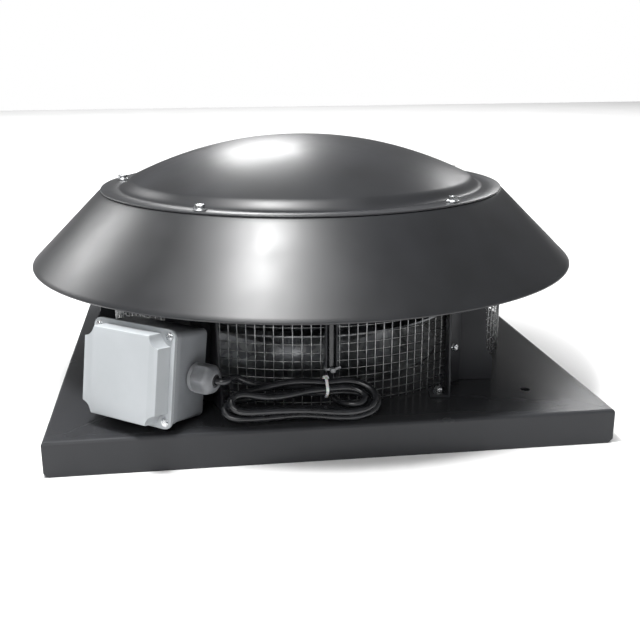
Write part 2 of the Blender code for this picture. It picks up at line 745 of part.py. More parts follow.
def make_hank(rubber, nylon):
    half = HANK_THICKNESS / 2
    outer = rounded(HANK_LENGTH, HANK_HEIGHT, HANK_HEIGHT / 2 - 0.0005, 8)
    hank = slab("cable_hank", outer, -half, half, rubber, hank_frame())
    window = rounded(HANK_LENGTH - 2 * HANK_BAND, HANK_HEIGHT - 2 * HANK_BAND, 0.0065, 4)
    cut(hank, slab("hank_window", window, -0.02, 0.02, None, hank_frame()))
    spot = Matrix.Translation((TIE_X - HANK_MIDDLE.x, (HANK_HEIGHT - HANK_BAND) / 2, 0))
    place = hank_frame() @ spot @ Matrix.Rotation(math.radians(90), 4, "Y")
    wide, tall = HANK_THICKNESS + 2 * GAP, HANK_BAND + 2 * GAP
    tie = slab("cable_tie", rounded(wide + 0.0026, tall + 0.0026, 0.002, 2), -0.0018, 0.0018, nylon, place)
    cut(tie, slab("tie_hole", rectangle(wide, tall), -0.01, 0.01, None, place))


def make_cables(rubber, nylon):
    """One cord in three stretches: from the gland to the hank, the hank, and up the guard to the motor."""
    lie = (HANK_THICKNESS + CABLE) / 2 + GAP
    band = (HANK_HEIGHT - HANK_BAND) / 2
    lead = [
        gland_frame() @ Vector((0, 0, 0.0270 + GAP)),
        gland_frame() @ Vector((0, 0, 0.0400)),
        hank_frame() @ Vector((-0.0600, band + 0.004, lie + 0.0180)),
        hank_frame() @ Vector((-0.0330, band + 0.001, lie + 0.0060)),
        hank_frame() @ Vector((-0.0100, band, lie + 0.0004)),
        hank_frame() @ Vector((0.0110, band, lie)),
    ]
    cable_tube("cable_lead", lead, rubber)
    back = -(GUARD_RADIUS + GUARD_WALL / 2 + 0.0007)
    run = back - 0.0014 - CABLE / 2
    riser = [
        (0.0, run, TOP + 0.0368),
        (0.0, run, TOP + 0.0600),
        (0.0, run, TOP + 0.1000),
        (0.0, run, TOP + 0.1500),
        (0.0, run + 0.0050, TOP + 0.1610),
        (0.0, run + 0.0200, TOP + 0.1665),
        (0.0, -0.1600, TOP + 0.1665),
        (0.0, -0.1100, TOP + 0.1665),
        entry_frame() @ Vector((0, 0, 0.0150 + GAP)),
    ]
    cable_tube("cable_riser", riser, rubber)
    half, front, wall = CHANNEL_WIDTH / 2 + GAP, back - CHANNEL_DEPTH - GAP, 0.0012
    strap = [
        (-half - wall, front - wall),
        (half + wall, front - wall),
        (half + wall, back),
        (half, back),
        (half, front),
        (-half, front),
        (-half, back),
        (-half - wall, back),
    ]
    slab("riser_tie", strap, CHANNEL_FOOT + 0.005, CHANNEL_FOOT + 0.0086, nylon)


def main():
    for obj in list(bpy.data.objects):
        bpy.data.objects.remove(obj, do_unlink=True)
    paint = material("black_powder_coat", (0.018, 0.018, 0.020), 0.38, 0.0)
    alloy = material("impeller_aluminium", (0.42, 0.43, 0.44), 0.42, 0.9)
    wire = material("galvanised_wire", (0.45, 0.46, 0.47), 0.45, 0.9)
    zinc = material("zinc_plated_steel", (0.66, 0.67, 0.68), 0.3, 1.0)
    cast = material("cast_motor_black", (0.05, 0.05, 0.055), 0.5, 0.2)
    copper = material("stator_copper", (0.35, 0.16, 0.08), 0.5, 0.6)
    steel = material("bearing_steel", (0.6, 0.6, 0.6), 0.25, 1.0)
    grey = material("grey_box_plastic", (0.45, 0.47, 0.48), 0.5)
    gland = material("grey_gland_nylon", (0.22, 0.22, 0.23), 0.5)
    rubber = material("black_cable_jacket", (0.02, 0.02, 0.02), 0.4)
    seal = material("seal_rubber", (0.03, 0.03, 0.03), 0.7)
    white = material("white_tie_nylon", (0.8, 0.8, 0.78), 0.4)
    terminal = material("terminal_plastic", (0.7, 0.7, 0.66), 0.5)

    make_base_pan(paint)
    make_inlet_cone(alloy)
    for label, azimuth in SUPPORTS.items():
        make_support(label, azimuth, paint)
    make_guard(wire, paint)
    make_hood_cone(paint)
    make_hood_cap(paint)
    make_hood_bolts(zinc)
    make_foot_bolts(zinc)
    make_spider(paint)
    make_motor(cast, steel, copper, seal)
    make_impeller(alloy)
    make_box_lid(grey)
    make_box_base(grey, seal)
    make_gland(gland, seal)
    make_box_fittings(zinc, terminal, paint)
    make_hank(rubber, white)
    make_cables(rubber, gland)


main()
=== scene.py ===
"""Finished surfaces for the roof exhaust fan, on the frame that its solids give.

It is laid out as a Blender add-on and run as a script. Sizes are in metres, +Z is up, the origin is under
the middle of the base pan, and -Y is the front.
"""

import math

import bmesh
import bpy
from bpy.props import FloatProperty, FloatVectorProperty, IntProperty, PointerProperty
from mathutils import Matrix, Vector


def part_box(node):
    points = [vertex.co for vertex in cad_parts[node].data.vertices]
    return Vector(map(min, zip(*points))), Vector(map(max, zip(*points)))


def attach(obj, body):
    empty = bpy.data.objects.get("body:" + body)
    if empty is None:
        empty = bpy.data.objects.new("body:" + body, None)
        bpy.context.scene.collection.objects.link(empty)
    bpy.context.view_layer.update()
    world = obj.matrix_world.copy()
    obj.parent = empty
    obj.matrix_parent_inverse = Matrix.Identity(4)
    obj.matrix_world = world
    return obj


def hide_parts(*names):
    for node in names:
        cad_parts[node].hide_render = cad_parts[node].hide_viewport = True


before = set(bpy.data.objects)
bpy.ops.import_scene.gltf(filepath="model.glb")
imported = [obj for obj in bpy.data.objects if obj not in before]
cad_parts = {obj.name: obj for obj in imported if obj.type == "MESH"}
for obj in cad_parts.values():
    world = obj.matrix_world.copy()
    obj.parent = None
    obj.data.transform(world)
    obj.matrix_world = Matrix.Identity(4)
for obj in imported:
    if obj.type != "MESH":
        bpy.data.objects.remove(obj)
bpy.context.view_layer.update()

bl_info = {
    "name": "Roof exhaust fan",
    "version": (1, 0, 0),
    "blender": (4, 5, 0),
    "location": "View3D > Sidebar > Roof fan",
    "description": "Builds the finished surfaces of a roof exhaust fan",
    "category": "Object",
}

FRAME_BODY = "fan_frame"
ROTOR_BODY = "rotor"
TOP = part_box("base_pan")[1][2]
MM = 0.001


# ---------------------------------------------------------------- colour and materials

def linear(code):
    """An sRGB hex colour as linear light."""
    channels = [int(code[k : k + 2], 16) / 255 for k in (1, 3, 5)]
    return tuple(c / 12.92 if c <= 0.04045 else ((c + 0.055) / 1.055) ** 2.4 for c in channels)


def add_node(tree, kind, links=(), **settings):
    """Adds a node. Settings name its properties or sockets, and links are (socket, source output) pairs."""
    made = tree.nodes.new(kind)
    for key, value in settings.items():
        if hasattr(made, key):
            setattr(made, key, value)
        else:
            made.inputs[key.replace("_", " ")].default_value = value
    for socket, source in links:
        tree.links.new(source, made.inputs[socket])
    return made


def new_material(name, code, roughness, metallic=0.0, ior=1.5):
    """A Principled material in one colour, with its tree, its shader and object coordinates for patterns."""
    made = bpy.data.materials.new(name)
    made.use_nodes = True
    tree = made.node_tree
    shader = tree.nodes["Principled BSDF"]
    shader.inputs["Base Color"].default_value = (*linear(code), 1)
    shader.inputs["Roughness"].default_value = roughness
    shader.inputs["Metallic"].default_value = metallic
    if not metallic:
        shader.inputs["IOR"].default_value = ior
    made.diffuse_color = (*linear(code), 1)
    return made, tree, shader, add_node(tree, "ShaderNodeTexCoord").outputs["Object"]


def skin(made, tree, shader, where, cloud, gloss, grain, painted_edge_highlight=None, pattern=None):
    """Lays a finish over a material's shader, and gives the material back.

    cloud is (patch size in mm, dark colour, light colour), gloss is (patch size in mm, lowest and highest
    roughness), grain is (grain size in mm, its depth in mm, strength), and the fourth, where given, is the
    (colour, amount) of a painted highlight laid along sharp convex edges. A pattern, where given, takes the
    place of the cloud's own noise.
    """
    at = [("Vector", where)]
    if pattern is None:
        clouds = add_node(tree, "ShaderNodeTexNoise", at, Scale=1 / (cloud[0] * MM), Detail=3.0)
        pattern = clouds.outputs["Fac"]
    ramp = add_node(tree, "ShaderNodeValToRGB", [("Fac", pattern)])
    for element, position, code in zip(ramp.color_ramp.elements, (0.35, 0.65), cloud[1:]):
        element.position = position
        element.color = (*(linear(code) if isinstance(code, str) else code), 1)
    colour = ramp.outputs["Color"]
    # Painted highlight: convex edges, found by pointiness, are lightened towards the given colour.
    if painted_edge_highlight:
        corner = add_node(tree, "ShaderNodeNewGeometry").outputs["Pointiness"]
        sharp = {"From_Min": 0.51, "From_Max": 0.57, "To_Min": 0.0, "To_Max": painted_edge_highlight[1]}
        amount = add_node(tree, "ShaderNodeMapRange", [("Value", corner)], **sharp)
        mix = add_node(tree, "ShaderNodeMix", data_type="RGBA")
        tree.links.new(amount.outputs["Result"], mix.inputs[0])
        tree.links.new(colour, mix.inputs[6])
        mix.inputs[7].default_value = (*linear(painted_edge_highlight[0]), 1)
        colour = mix.outputs[2]
    tree.links.new(colour, shader.inputs["Base Color"])
    haze = add_node(tree, "ShaderNodeTexNoise", at, Scale=1 / (gloss[0] * MM), Detail=4.0).outputs["Fac"]
    span = {"From_Min": 0.3, "From_Max": 0.7, "To_Min": gloss[1], "To_Max": gloss[2]}
    sheen = add_node(tree, "ShaderNodeMapRange", [("Value", haze)], **span)
    tree.links.new(sheen.outputs["Result"], shader.inputs["Roughness"])
    tooth = add_node(tree, "ShaderNodeTexNoise", at, Scale=1 / (grain[0] * MM), Detail=2.0).outputs["Fac"]
    relief = add_node(tree, "ShaderNodeBump", [("Height", tooth)], Distance=grain[1] * MM, Strength=grain[2])
    tree.links.new(relief.outputs["Normal"], shader.inputs["Normal"])
    return made


def satin_black_powder_coat():
    """Spun steel under polyester powder coat: near black, with a satin skin whose faint orange peel spreads
    each highlight into a soft pool. The peel is drawn a little coarser than life, so that it shows."""
    parts = new_material("satin_black_powder_coat", "#1a1b1d", 0.34, ior=1.52)
    patches = (90, colours().hood_dark, colours().hood_light)
    # 4a4b4e is a painted highlight along the hood's sharp edges, the hem and the shoulder.
    return skin(*parts, patches, (45, 0.34, 0.40), (2.4, 0.015, 0.25), ("#4a4b4e", 0.3))


def semi_gloss_black_powder_coat():
    """Folded sheet under a glossier powder coat: dark flats, and bright lines along the folds from its gloss
    and from a painted highlight on the sharp edges.
    """
    parts = new_material("semi_gloss_black_powder_coat", "#141517", 0.24, ior=1.52)
    parts[2].inputs["Specular IOR Level"].default_value = 0.19
    # 57585b is a painted highlight along the pan's folds and corners.
    return skin(*parts, (120, "#121315", "#191a1c"), (60, 0.2, 0.28), (2.2, 0.012, 0.25), ("#57585b", 0.35))


def black_coated_brackets():
    """Powder coat on small folded brackets: matter where the powder lies thin, with a painted grey highlight
    on the corners.
    """
    parts = new_material("black_powder_coat_on_brackets", "#101112", 0.34, ior=1.52)
    parts[2].inputs["Specular IOR Level"].default_value = 0.14
    # 55565a is a painted highlight along the brackets' sharp edges.
    return skin(*parts, (60, "#0f1011", "#151618"), (25, 0.3, 0.42), (1.8, 0.015, 0.3), ("#55565a", 0.4))


def galvanised_wire():
    """Galvanised welded wire: grey zinc with paler spots where the bath pooled, broken into small glints."""
    parts = new_material("galvanised_steel_wire", "#8f9192", 0.4, 1.0)
    return skin(*parts, (5, "#77797b", "#b3b4b4"), (3, 0.32, 0.5), (1.4, 0.02, 0.35))


def zinc_plated_steel():
    """Bright zinc plate on pressed fasteners: pale blue-grey, with a slight haze."""
    parts = new_material("zinc_plated_steel", "#c6c8ca", 0.26, 1.0)
    return skin(*parts, (2.5, "#aeb1b4", "#dfe0e1"), (1.5, 0.2, 0.34), (0.8, 0.01, 0.3))


def bearing_steel():
    """Ground bearing steel: smooth, dark grey and oily."""
    parts = new_material("ground_bearing_steel", "#8e9093", 0.22, 1.0)
    return skin(*parts, (4, "#7c7e81", "#9fa1a4"), (3, 0.16, 0.3), (0.8, 0.005, 0.2))


def galvanised_sheet():
    """Galvanised sheet: broad flat spangles of zinc crystals, each a slightly different grey."""
    made, tree, shader, where = new_material("galvanised_sheet_steel", "#8f9193", 0.4, 1.0)
    spangle = add_node(tree, "ShaderNodeTexVoronoi", [("Vector", where)], Scale=1 / (9 * MM)).outputs["Color"]
    grey = add_node(tree, "ShaderNodeSeparateColor", [("Color", spangle)]).outputs["Red"]
    flakes = (9, "#85878a", "#a2a4a6")
    return skin(made, tree, shader, where, flakes, (16, 0.34, 0.48), (3, 0.01, 0.2), pattern=grey)


def rolled_aluminium():
    """Mill-finish sheet aluminium: soft grey, with fine streaks left by the rolls."""
    made, tree, shader, where = new_material("mill_finish_aluminium", "#8a8c8e", 0.42, 1.0)
    drawn = add_node(tree, "ShaderNodeMapping", [("Vector", where)], Scale=(1, 14, 1))
    along = [("Vector", drawn.outputs["Vector"])]
    streak = add_node(tree, "ShaderNodeTexNoise", along, Scale=1 / (9 * MM), Detail=4.0)
    return skin(
        made, tree, shader, where, (9, "#7b7d80", "#9c9ea0"), (22, 0.36, 0.5), (2.5, 0.008, 0.2),
        pattern=streak.outputs["Fac"],
    )


def black_enamelled_casting():
    """Black enamel over a die casting: matt, with the casting's grain under it."""
    parts = new_material("black_enamelled_casting", "#222325", 0.5, ior=1.5)
    # 5b5d60 is a painted highlight along the casting's sharp edges.
    return skin(*parts, (16, "#1e1f21", "#2a2b2e"), (6, 0.42, 0.6), (1.4, 0.06, 0.5), ("#5b5d60", 0.4))


def moulded_lid_plastic():
    """ABS moulded against a spark-eroded tool: light grey, with a fine grain that breaks up the gloss.
    The grain is drawn coarser than life, so that it shows."""
    parts = new_material("light_grey_moulded_abs", "#979b9e", 0.48, ior=1.54)
    patches = (50, colours().lid_dark, colours().lid_light)
    # c3c7ca is a painted highlight along the lid's sharp edges.
    return skin(*parts, patches, (9, 0.42, 0.54), (0.9, 0.03, 0.4), ("#c3c7ca", 0.3))


def base_plastic_darkened_as_painted_shade():
    """The box's base: the lid's ABS and grain, its colour darkened to paint the shade that it stands in."""
    # Painted shade: #797c80 and the cloud's greys are the lid's plastic made darker, and #a5a8ab is a painted
    # highlight on the sharp edges.
    parts = new_material("grey_moulded_abs", "#797c80", 0.5, ior=1.54)
    return skin(*parts, (50, "#75787c", "#7d8084"), (9, 0.44, 0.58), (0.9, 0.03, 0.4), ("#a5a8ab", 0.3))


def gland_polyamide():
    """Glass-filled polyamide: mid grey, waxy on its flats, with its sharp edges made paler by a painted
    highlight.
    """
    parts = new_material("grey_glass_filled_polyamide", "#66686b", 0.38, ior=1.53)
    # a5a7aa is a painted highlight along the gland's sharp edges.
    return skin(*parts, (9, "#606265", "#6c6e71"), (5, 0.3, 0.46), (1.0, 0.02, 0.35), ("#a5a7aa", 0.4))


def grey_tie_polyamide():
    """A grey cable tie: plain polyamide with a waxy gloss."""
    parts = new_material("grey_polyamide_tie", "#77797b", 0.4, ior=1.53)
    # 9b9d9f is a painted highlight along the tie's sharp edges.
    return skin(*parts, (6, "#6f7173", "#828486"), (4, 0.32, 0.48), (1.0, 0.02, 0.3), ("#9b9d9f", 0.3))


def natural_polyamide():
    """A natural cable tie: milky polyamide that lets a little light into its edges."""
    made, tree, shader, where = new_material("natural_polyamide_tie", "#eceded", 0.36, ior=1.53)
    shader.inputs["Subsurface Weight"].default_value = 0.25
    shader.inputs["Subsurface Scale"].default_value = 0.0015
    milk = (6, "#e6e7e7", "#f3f4f4")
    return skin(made, tree, shader, where, milk, (4, 0.3, 0.42), (1.0, 0.015, 0.3))


def terminal_polyamide():
    """The terminal block's cream polyamide: dull, with a fine moulded grain."""
    parts = new_material("cream_terminal_polyamide", "#cfcab8", 0.46, ior=1.53)
    # e2dfd2 is a painted highlight along the block's sharp edges.
    return skin(*parts, (12, "#c6c1ae", "#d6d2c2"), (5, 0.4, 0.55), (0.9, 0.02, 0.3), ("#e2dfd2", 0.3))


def black_pvc_jacket():
    """PVC jacket: black and smooth from the extruder, glossy along its crown, with dull scuffs."""
    parts = new_material("black_pvc_jacket", "#222326", 0.24, ior=1.53)
    return skin(*parts, (18, "#1e1f21", "#292a2d"), (9, 0.14, 0.26), (3.0, 0.01, 0.12))


def black_rubber():
    """Moulded seal rubber: matt, with a faint pale bloom."""
    parts = new_material("black_seal_rubber", "#232425", 0.62, ior=1.52)
    return skin(*parts, (6, "#1d1e1f", "#2b2c2d"), (3, 0.52, 0.74), (1.0, 0.03, 0.4))


def grey_foam():
    """Foamed gasket strip: dull mid grey with open pores along its cut edge."""
    parts = new_material("grey_foam_gasket", "#65686b", 0.75, ior=1.45)
    return skin(*parts, (3, "#5c5f62", "#6f7275"), (2, 0.68, 0.85), (0.9, 0.08, 0.6))


def wound_copper():
    """Enamelled copper windings: brown-orange bands, one to each turn of wire, with a lacquered gloss."""
    made, tree, shader, where = new_material("enamelled_copper_windings", "#6e3d22", 0.4, 0.6)
    turns = add_node(
        tree, "ShaderNodeTexWave", [("Vector", where)], bands_direction="Z", Scale=180.0, Distortion=1.5
    )
    return skin(
        made, tree, shader, where, (4, "#3b2418", "#9a5a32"), (3, 0.3, 0.5), (1.0, 0.05, 0.4),
        pattern=turns.outputs["Fac"],
    )


def white_board():
    """Matt white studio board, with the faintest tooth."""
    parts = new_material("matt_white_board", "#e4e4e4", 0.9)
    return skin(*parts, (300, "#e1e1e1", "#e4e4e4"), (80, 0.86, 0.94), (3, 0.01, 0.1))


# ---------------------------------------------------------------- mesh tools

def finish_object(name, bm, finish, place=None, angle=35, body=FRAME_BODY):
    """Closes a mesh into a named object, shades it and puts it on its body."""
    bmesh.ops.remove_doubles(bm, verts=bm.verts, dist=1e-7)
    bmesh.ops.recalc_face_normals(bm, faces=bm.faces)
    mesh = bpy.data.meshes.new(name)
    bm.to_mesh(mesh)
    bm.free()
    mesh.shade_smooth()
    mesh.set_sharp_from_angle(angle=math.radians(angle))
    mesh.materials.append(finish)
    obj = bpy.data.objects.new(name, mesh)
    bpy.context.scene.collection.objects.link(obj)
    if place is not None:
        mesh.transform(place)
    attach(obj, body)
    return obj


def circle(radius, steps):
    """Points round a circle, as (x, y)."""
    angles = [math.tau * k / steps for k in range(steps)]
    return [(radius * math.cos(angle), radius * math.sin(angle)) for angle in angles]


def bridge(bm, low, high):
    """Joins two loops of points with a band of faces."""
    for k in range(len(low)):
        bm.faces.new((low[k - 1], low[k], high[k], high[k - 1]))


def loop_at(bm, outline, height):
    """A loop of points at a height, from an outline of (x, y) points."""
    return [bm.verts.new((x, y, height)) for x, y in outline]


def settle(bm, loops, place):
    """Moves the points of some loops to their place."""
    bmesh.ops.transform(bm, matrix=place, verts=[v for loop in loops for v in loop])


def turn_profile(bm, profile, steps, place=None, closed=True):
    """Adds a closed profile of (radius, height) points, spun round Z."""
    rings = []
    for radius, height in profile:
        if radius < 1e-7:
            rings.append([bm.verts.new((0, 0, height))])
            continue
        rings.append(loop_at(bm, circle(radius, steps), height))
    pairs = list(zip(rings, rings[1:]))
    if closed:
        pairs.append((rings[-1], rings[0]))
    for low, high in pairs:
        if len(low) == len(high) == 1:
            continue
        if len(low) == len(high):
            bridge(bm, low, high)
            continue
        for k in range(steps):
            if len(low) == 1:
                bm.faces.new((low[0], high[k], high[k - 1]))
            else:
                bm.faces.new((low[k - 1], low[k], high[0]))
    if place is not None:
        settle(bm, rings, place)


def lathe(name, profile, finish, steps=192, place=None, angle=35, body=FRAME_BODY):
    """One object spun from a closed profile."""
    bm = bmesh.new()
    turn_profile(bm, profile, steps)
    return finish_object(name, bm, finish, place, angle, body)


def arc(centre, radius, start, stop, steps):
    """Points on an arc, as (x, y)."""
    points = []
    for k in range(steps + 1):
        angle = math.radians(start + (stop - start) * k / steps)
        points.append((centre[0] + radius * math.cos(angle), centre[1] + radius * math.sin(angle)))
    return points


def rounded(width, height, radius, steps=8):
    """A rectangle with round corners, as (x, y) points."""
    points = []
    for turn, (sx, sy) in enumerate([(1, 1), (-1, 1), (-1, -1), (1, -1)]):
        centre = (sx * (width / 2 - radius), sy * (height / 2 - radius))
        points += arc(centre, radius, 90 * turn, 90 * turn + 90, steps)
    return points


def scooped(width, height, radius, back):
    """A rectangle whose corners are cut by hollow arcs centred a little outside them."""
    points = []
    x, y = width / 2, height / 2
    reach = math.sqrt(radius**2 - back**2)
    for turn, (sx, sy) in enumerate([(1, 1), (-1, 1), (-1, -1), (1, -1)]):
        centre = (sx * (x + back), sy * (y + back))
        ends = [(sx * x, sy * (y + back - reach)), (sx * (x + back - reach), sy * y)]
        if turn % 2:
            ends.reverse()
        first = math.atan2(ends[0][1] - centre[1], ends[0][0] - centre[0])
        last = math.atan2(ends[1][1] - centre[1], ends[1][0] - centre[0])
        swing = (last - first + math.pi) % math.tau - math.pi
        for k in range(11):
            angle = first + swing * k / 10
            points.append((centre[0] + radius * math.cos(angle), centre[1] + radius * math.sin(angle)))
    return points


def add_prism(bm, outline, low, high, bevel=0.0, segments=2, place=None, both=True, draft=0.0):
    """Adds an outline of (x, y) points extruded along Z, with its end edges rounded."""
    count = len(outline)
    shrink = 1 - draft
    under = loop_at(bm, outline, low)
    over = loop_at(bm, [(x * shrink, y * shrink) for x, y in outline], high)
    faces = [bm.faces.new(list(reversed(under))), bm.faces.new(over)]
    for k in range(count):
        faces.append(bm.faces.new((under[k - 1], under[k], over[k], over[k - 1])))
    made = set(under + over)
    if bevel:
        rims = [e for e in faces[1].edges] + ([e for e in faces[0].edges] if both else [])
        done = bmesh.ops.bevel(bm, geom=rims, offset=bevel, segments=segments, profile=0.6, affect="EDGES")
        made = {v for v in made if v.is_valid} | set(done["verts"])
    if place is not None:
        bmesh.ops.transform(bm, matrix=place, verts=list(made))


def add_tube(bm, points, radius, sides=8, closed=False):
    """Adds a round tube through points, with its ends closed."""
    points = [Vector(p) for p in points]
    count = len(points)
    rings = []
    normal = None
    for k, point in enumerate(points):
        before = points[k - 1] if k or closed else point
        after = points[(k + 1) % count] if k < count - 1 or closed else point
        along = (after - before).normalized()
        if normal is None:
            normal = along.orthogonal().normalized()
        normal = (normal - along * normal.dot(along)).normalized()
        across = along.cross(normal)
        ring = []
        for s in range(sides):
            angle = math.tau * s / sides
            offset = normal * math.cos(angle) + across * math.sin(angle)
            ring.append(bm.verts.new(point + offset * radius))
        rings.append(ring)
    pairs = list(zip(rings, rings[1:])) + ([(rings[-1], rings[0])] if closed else [])
    for low, high in pairs:
        bridge(bm, low, high)
    if not closed:
        bm.faces.new(list(reversed(rings[0])))
        bm.faces.new(rings[-1])


def around(degrees, radius=0.0, height=0.0):
    """A frame at an azimuth: x outwards, y round, z up."""
    return Matrix.Rotation(math.radians(degrees), 4, "Z") @ Matrix.Translation((radius, 0, height))


EASING = 3


def smooth_route(route, spacing):
    """Points on the centripetal curve through the route's points, a given distance apart, and then eased
    so that no bend is sharper than the cable would take."""
    points = [Vector(p) for p in route]
    points = [2 * points[0] - points[1], *points, 2 * points[-1] - points[-2]]
    fine = []
    for a, b, c, d in zip(points, points[1:], points[2:], points[3:]):
        knots = [0.0]
        for p, q in ((a, b), (b, c), (c, d)):
            knots.append(knots[-1] + max((q - p).length, 1e-6) ** 0.5)
        for k in range(20):
            t = knots[1] + (knots[2] - knots[1]) * k / 20

            def mix(p, q, i, j):
                return p.lerp(q, (t - knots[i]) / (knots[j] - knots[i]))

            ab, bc, cd = mix(a, b, 0, 1), mix(b, c, 1, 2), mix(c, d, 2, 3)
            fine.append(mix(mix(ab, bc, 0, 2), mix(bc, cd, 1, 3), 1, 2))
    fine.append(points[-2])
    spaced = [fine[0]]
    for p in fine[1:]:
        if (p - spaced[-1]).length >= spacing:
            spaced.append(p)
    spaced = [*spaced[:-1], fine[-1]]
    for _ in range(EASING):
        inner = [(p + 2 * q + r) / 4 for p, q, r in zip(spaced[3:], spaced[4:], spaced[5:])]
        spaced[4:-1] = inner
    return spaced


# ---------------------------------------------------------------- settings

def span(name, description, default):
    return FloatProperty(name=name, description=description, default=default, unit="LENGTH")


class FanSizes(bpy.types.PropertyGroup):
    hood_rim: span("Hood rim radius", "Radius of the hood's lower edge", 0.3358)
    hood_top: span("Hood top radius", "Radius at the top of the cone", 0.2493)
    dome_height: span("Dome height", "Rise of the cap above its flange", 0.0590)
    wire: span("Guard wire", "Diameter of the guard's wire", 0.0011)
    mesh_pitch: span("Mesh pitch", "Spacing of the guard's upright wires", 0.0100)
    ring_pitch: span("Ring pitch", "Spacing of the guard's rings", 0.0094)
    cable: span("Cable", "Outer diameter of the cable", 0.0075)
    turning_steps: IntProperty(
        name="Turning steps", description="Segments round the hood and cap", default=256, min=48
    )


def tone(name, description, code):
    return FloatVectorProperty(
        name=name, description=description, subtype="COLOR", default=linear(code), min=0, max=1
    )


class FanColours(bpy.types.PropertyGroup):
    hood_dark: tone("Hood, dark", "Darker patches of the hood's powder coat", "#18191b")
    hood_light: tone("Hood, light", "Lighter patches of the hood's powder coat", "#1e1f22")
    lid_dark: tone("Lid, dark", "Darker patches of the terminal box's lid", "#93979a")
    lid_light: tone("Lid, light", "Lighter patches of the terminal box's lid", "#9b9fa2")


def sizes():
    return bpy.context.scene.fan_sizes


def colours():
    return bpy.context.scene.fan_colours


MAKERS = {
    "hood": satin_black_powder_coat,
    "pan": semi_gloss_black_powder_coat,
    "bracket": black_coated_brackets,
    "wire": galvanised_wire,
    "zinc": zinc_plated_steel,
    "steel": bearing_steel,
    "inlet": galvanised_sheet,
    "alloy": rolled_aluminium,
    "motor": black_enamelled_casting,
    "copper": wound_copper,
    "lid": moulded_lid_plastic,
    "base": base_plastic_darkened_as_painted_shade,
    "gland": gland_polyamide,
    "grey_tie": grey_tie_polyamide,
    "white_tie": natural_polyamide,
    "terminal": terminal_polyamide,
    "jacket": black_pvc_jacket,
    "rubber": black_rubber,
    "gasket": grey_foam,
    "floor": white_board,
}
FINISHES = {}


def finish(name):
    """The material of a name, made when it is first asked for."""
    if name not in FINISHES:
        FINISHES[name] = MAKERS[name]()
    return FINISHES[name]


def dress(finish_name, *nodes):
    """Gives nodes that keep their own shape a finished material."""
    for label in nodes:
        obj = bpy.data.objects[label]
        for slot in obj.material_slots:
            slot.material = finish(finish_name)


# ---------------------------------------------------------------- frames of the box and cable

BOX_AZIMUTH = math.radians(-128)
BOX_TILT = math.radians(9)
BOX_FACE = Vector((-0.2190, -0.2790, TOP + 0.0600))
BASE_WIDTH, BASE_HEIGHT, BOX_DEPTH = 0.1020, 0.0950, 0.0760
LID_DEPTH, LID_FLANGE, GASKET = 0.0235, 0.0040, 0.0016
LID_WIDTH, LID_HEIGHT = 0.1050, 0.1010
PANEL_WIDTH, PANEL_HEIGHT = 0.0957, 0.0915
SCREW_ACROSS, SCREW_UP = 0.0455, 0.0435
GLAND_DEPTH, GLAND_UP = 0.058, -0.0015
HANK_MIDDLE = Vector((-0.0285, -0.2715, TOP + 0.0228))
HANK_LEAN = math.radians(40)
GUARD_RADIUS = 0.2395
ENTRY_HEIGHT = TOP + 0.1665
TIE_ALONG = 0.0205
STRAND_HALF = 3.9


def box_frame():
    """x to the box's right, y into its depth, z up its lid."""
    facing = Vector((math.cos(BOX_AZIMUTH), math.sin(BOX_AZIMUTH), 0))
    right = Vector((-facing.y, facing.x, 0))
    facing = facing * math.cos(BOX_TILT) + Vector((0, 0, math.sin(BOX_TILT)))
    up = facing.cross(right)
    return Matrix.Translation(BOX_FACE) @ Matrix((right, -facing, up)).transposed().to_4x4()


def face_frame(depth=0.0, x=0.0, z=0.0):
    """On the box: x to its right, y up, z out of its face, at a depth."""
    return box_frame() @ Matrix.Translation((x, depth, z)) @ Matrix.Rotation(math.radians(90), 4, "X")


def gland_frame():
    """At the gland on the box's right side: z runs outwards."""
    place = Matrix.Translation((BASE_WIDTH / 2, GLAND_DEPTH, GLAND_UP))
    return box_frame() @ place @ Matrix.Rotation(math.radians(90), 4, "Y")


def hank_frame():
    """x along the hank, y up its lean, z out of its face."""
    return Matrix.Translation(HANK_MIDDLE) @ Matrix.Rotation(HANK_LEAN, 4, "X")


def entry_frame():
    """At the motor's front: z runs outwards along the cable's way in."""
    return Matrix.Translation((0, -0.054, ENTRY_HEIGHT)) @ Matrix.Rotation(math.radians(90), 4, "X")


# ---------------------------------------------------------------- camera, stage

def make_camera():
    """A short portrait lens, a little left of the middle and looking down on the fan."""
    data = bpy.data.cameras.new("studio_camera")
    data.lens = 50.81
    data.shift_x = 0.0317
    data.shift_y = -0.0059
    data.dof.use_dof = False
    yaw, pitch, roll = math.radians(7.24), math.radians(16.3), math.radians(-0.41)
    ahead = Vector((math.sin(yaw) * math.cos(pitch), math.cos(yaw) * math.cos(pitch), -math.sin(pitch)))
    right = Vector((math.cos(yaw), -math.sin(yaw), 0))
    up = right.cross(ahead)
    turned = right * math.cos(roll) + up * math.sin(roll)
    upright = up * math.cos(roll) - right * math.sin(roll)
    camera = bpy.data.objects.new("studio_camera", data)
    camera.matrix_world = Matrix.Translation((-0.1468, -1.1400, 0.4047)) @ Matrix(
        (turned, upright, -ahead)
    ).transposed().to_4x4()
    bpy.context.scene.collection.objects.link(camera)
    bpy.context.scene.camera = camera


def area_light(name, place, target, width, height, power, glints=True):
    """A rectangular light aimed at a point. Without glints it isn't mirrored in glossy surfaces."""
    data = bpy.data.lights.new(name, "AREA")
    data.shape = "RECTANGLE"
    data.size, data.size_y = width, height
    data.energy = power
    light = bpy.data.objects.new(name, data)
    aim = (Vector(target) - Vector(place)).to_track_quat("-Z", "Y")
    light.matrix_world = Matrix.Translation(place) @ aim.to_matrix().to_4x4()
    light.visible_glossy = glints
    bpy.context.scene.collection.objects.link(light)


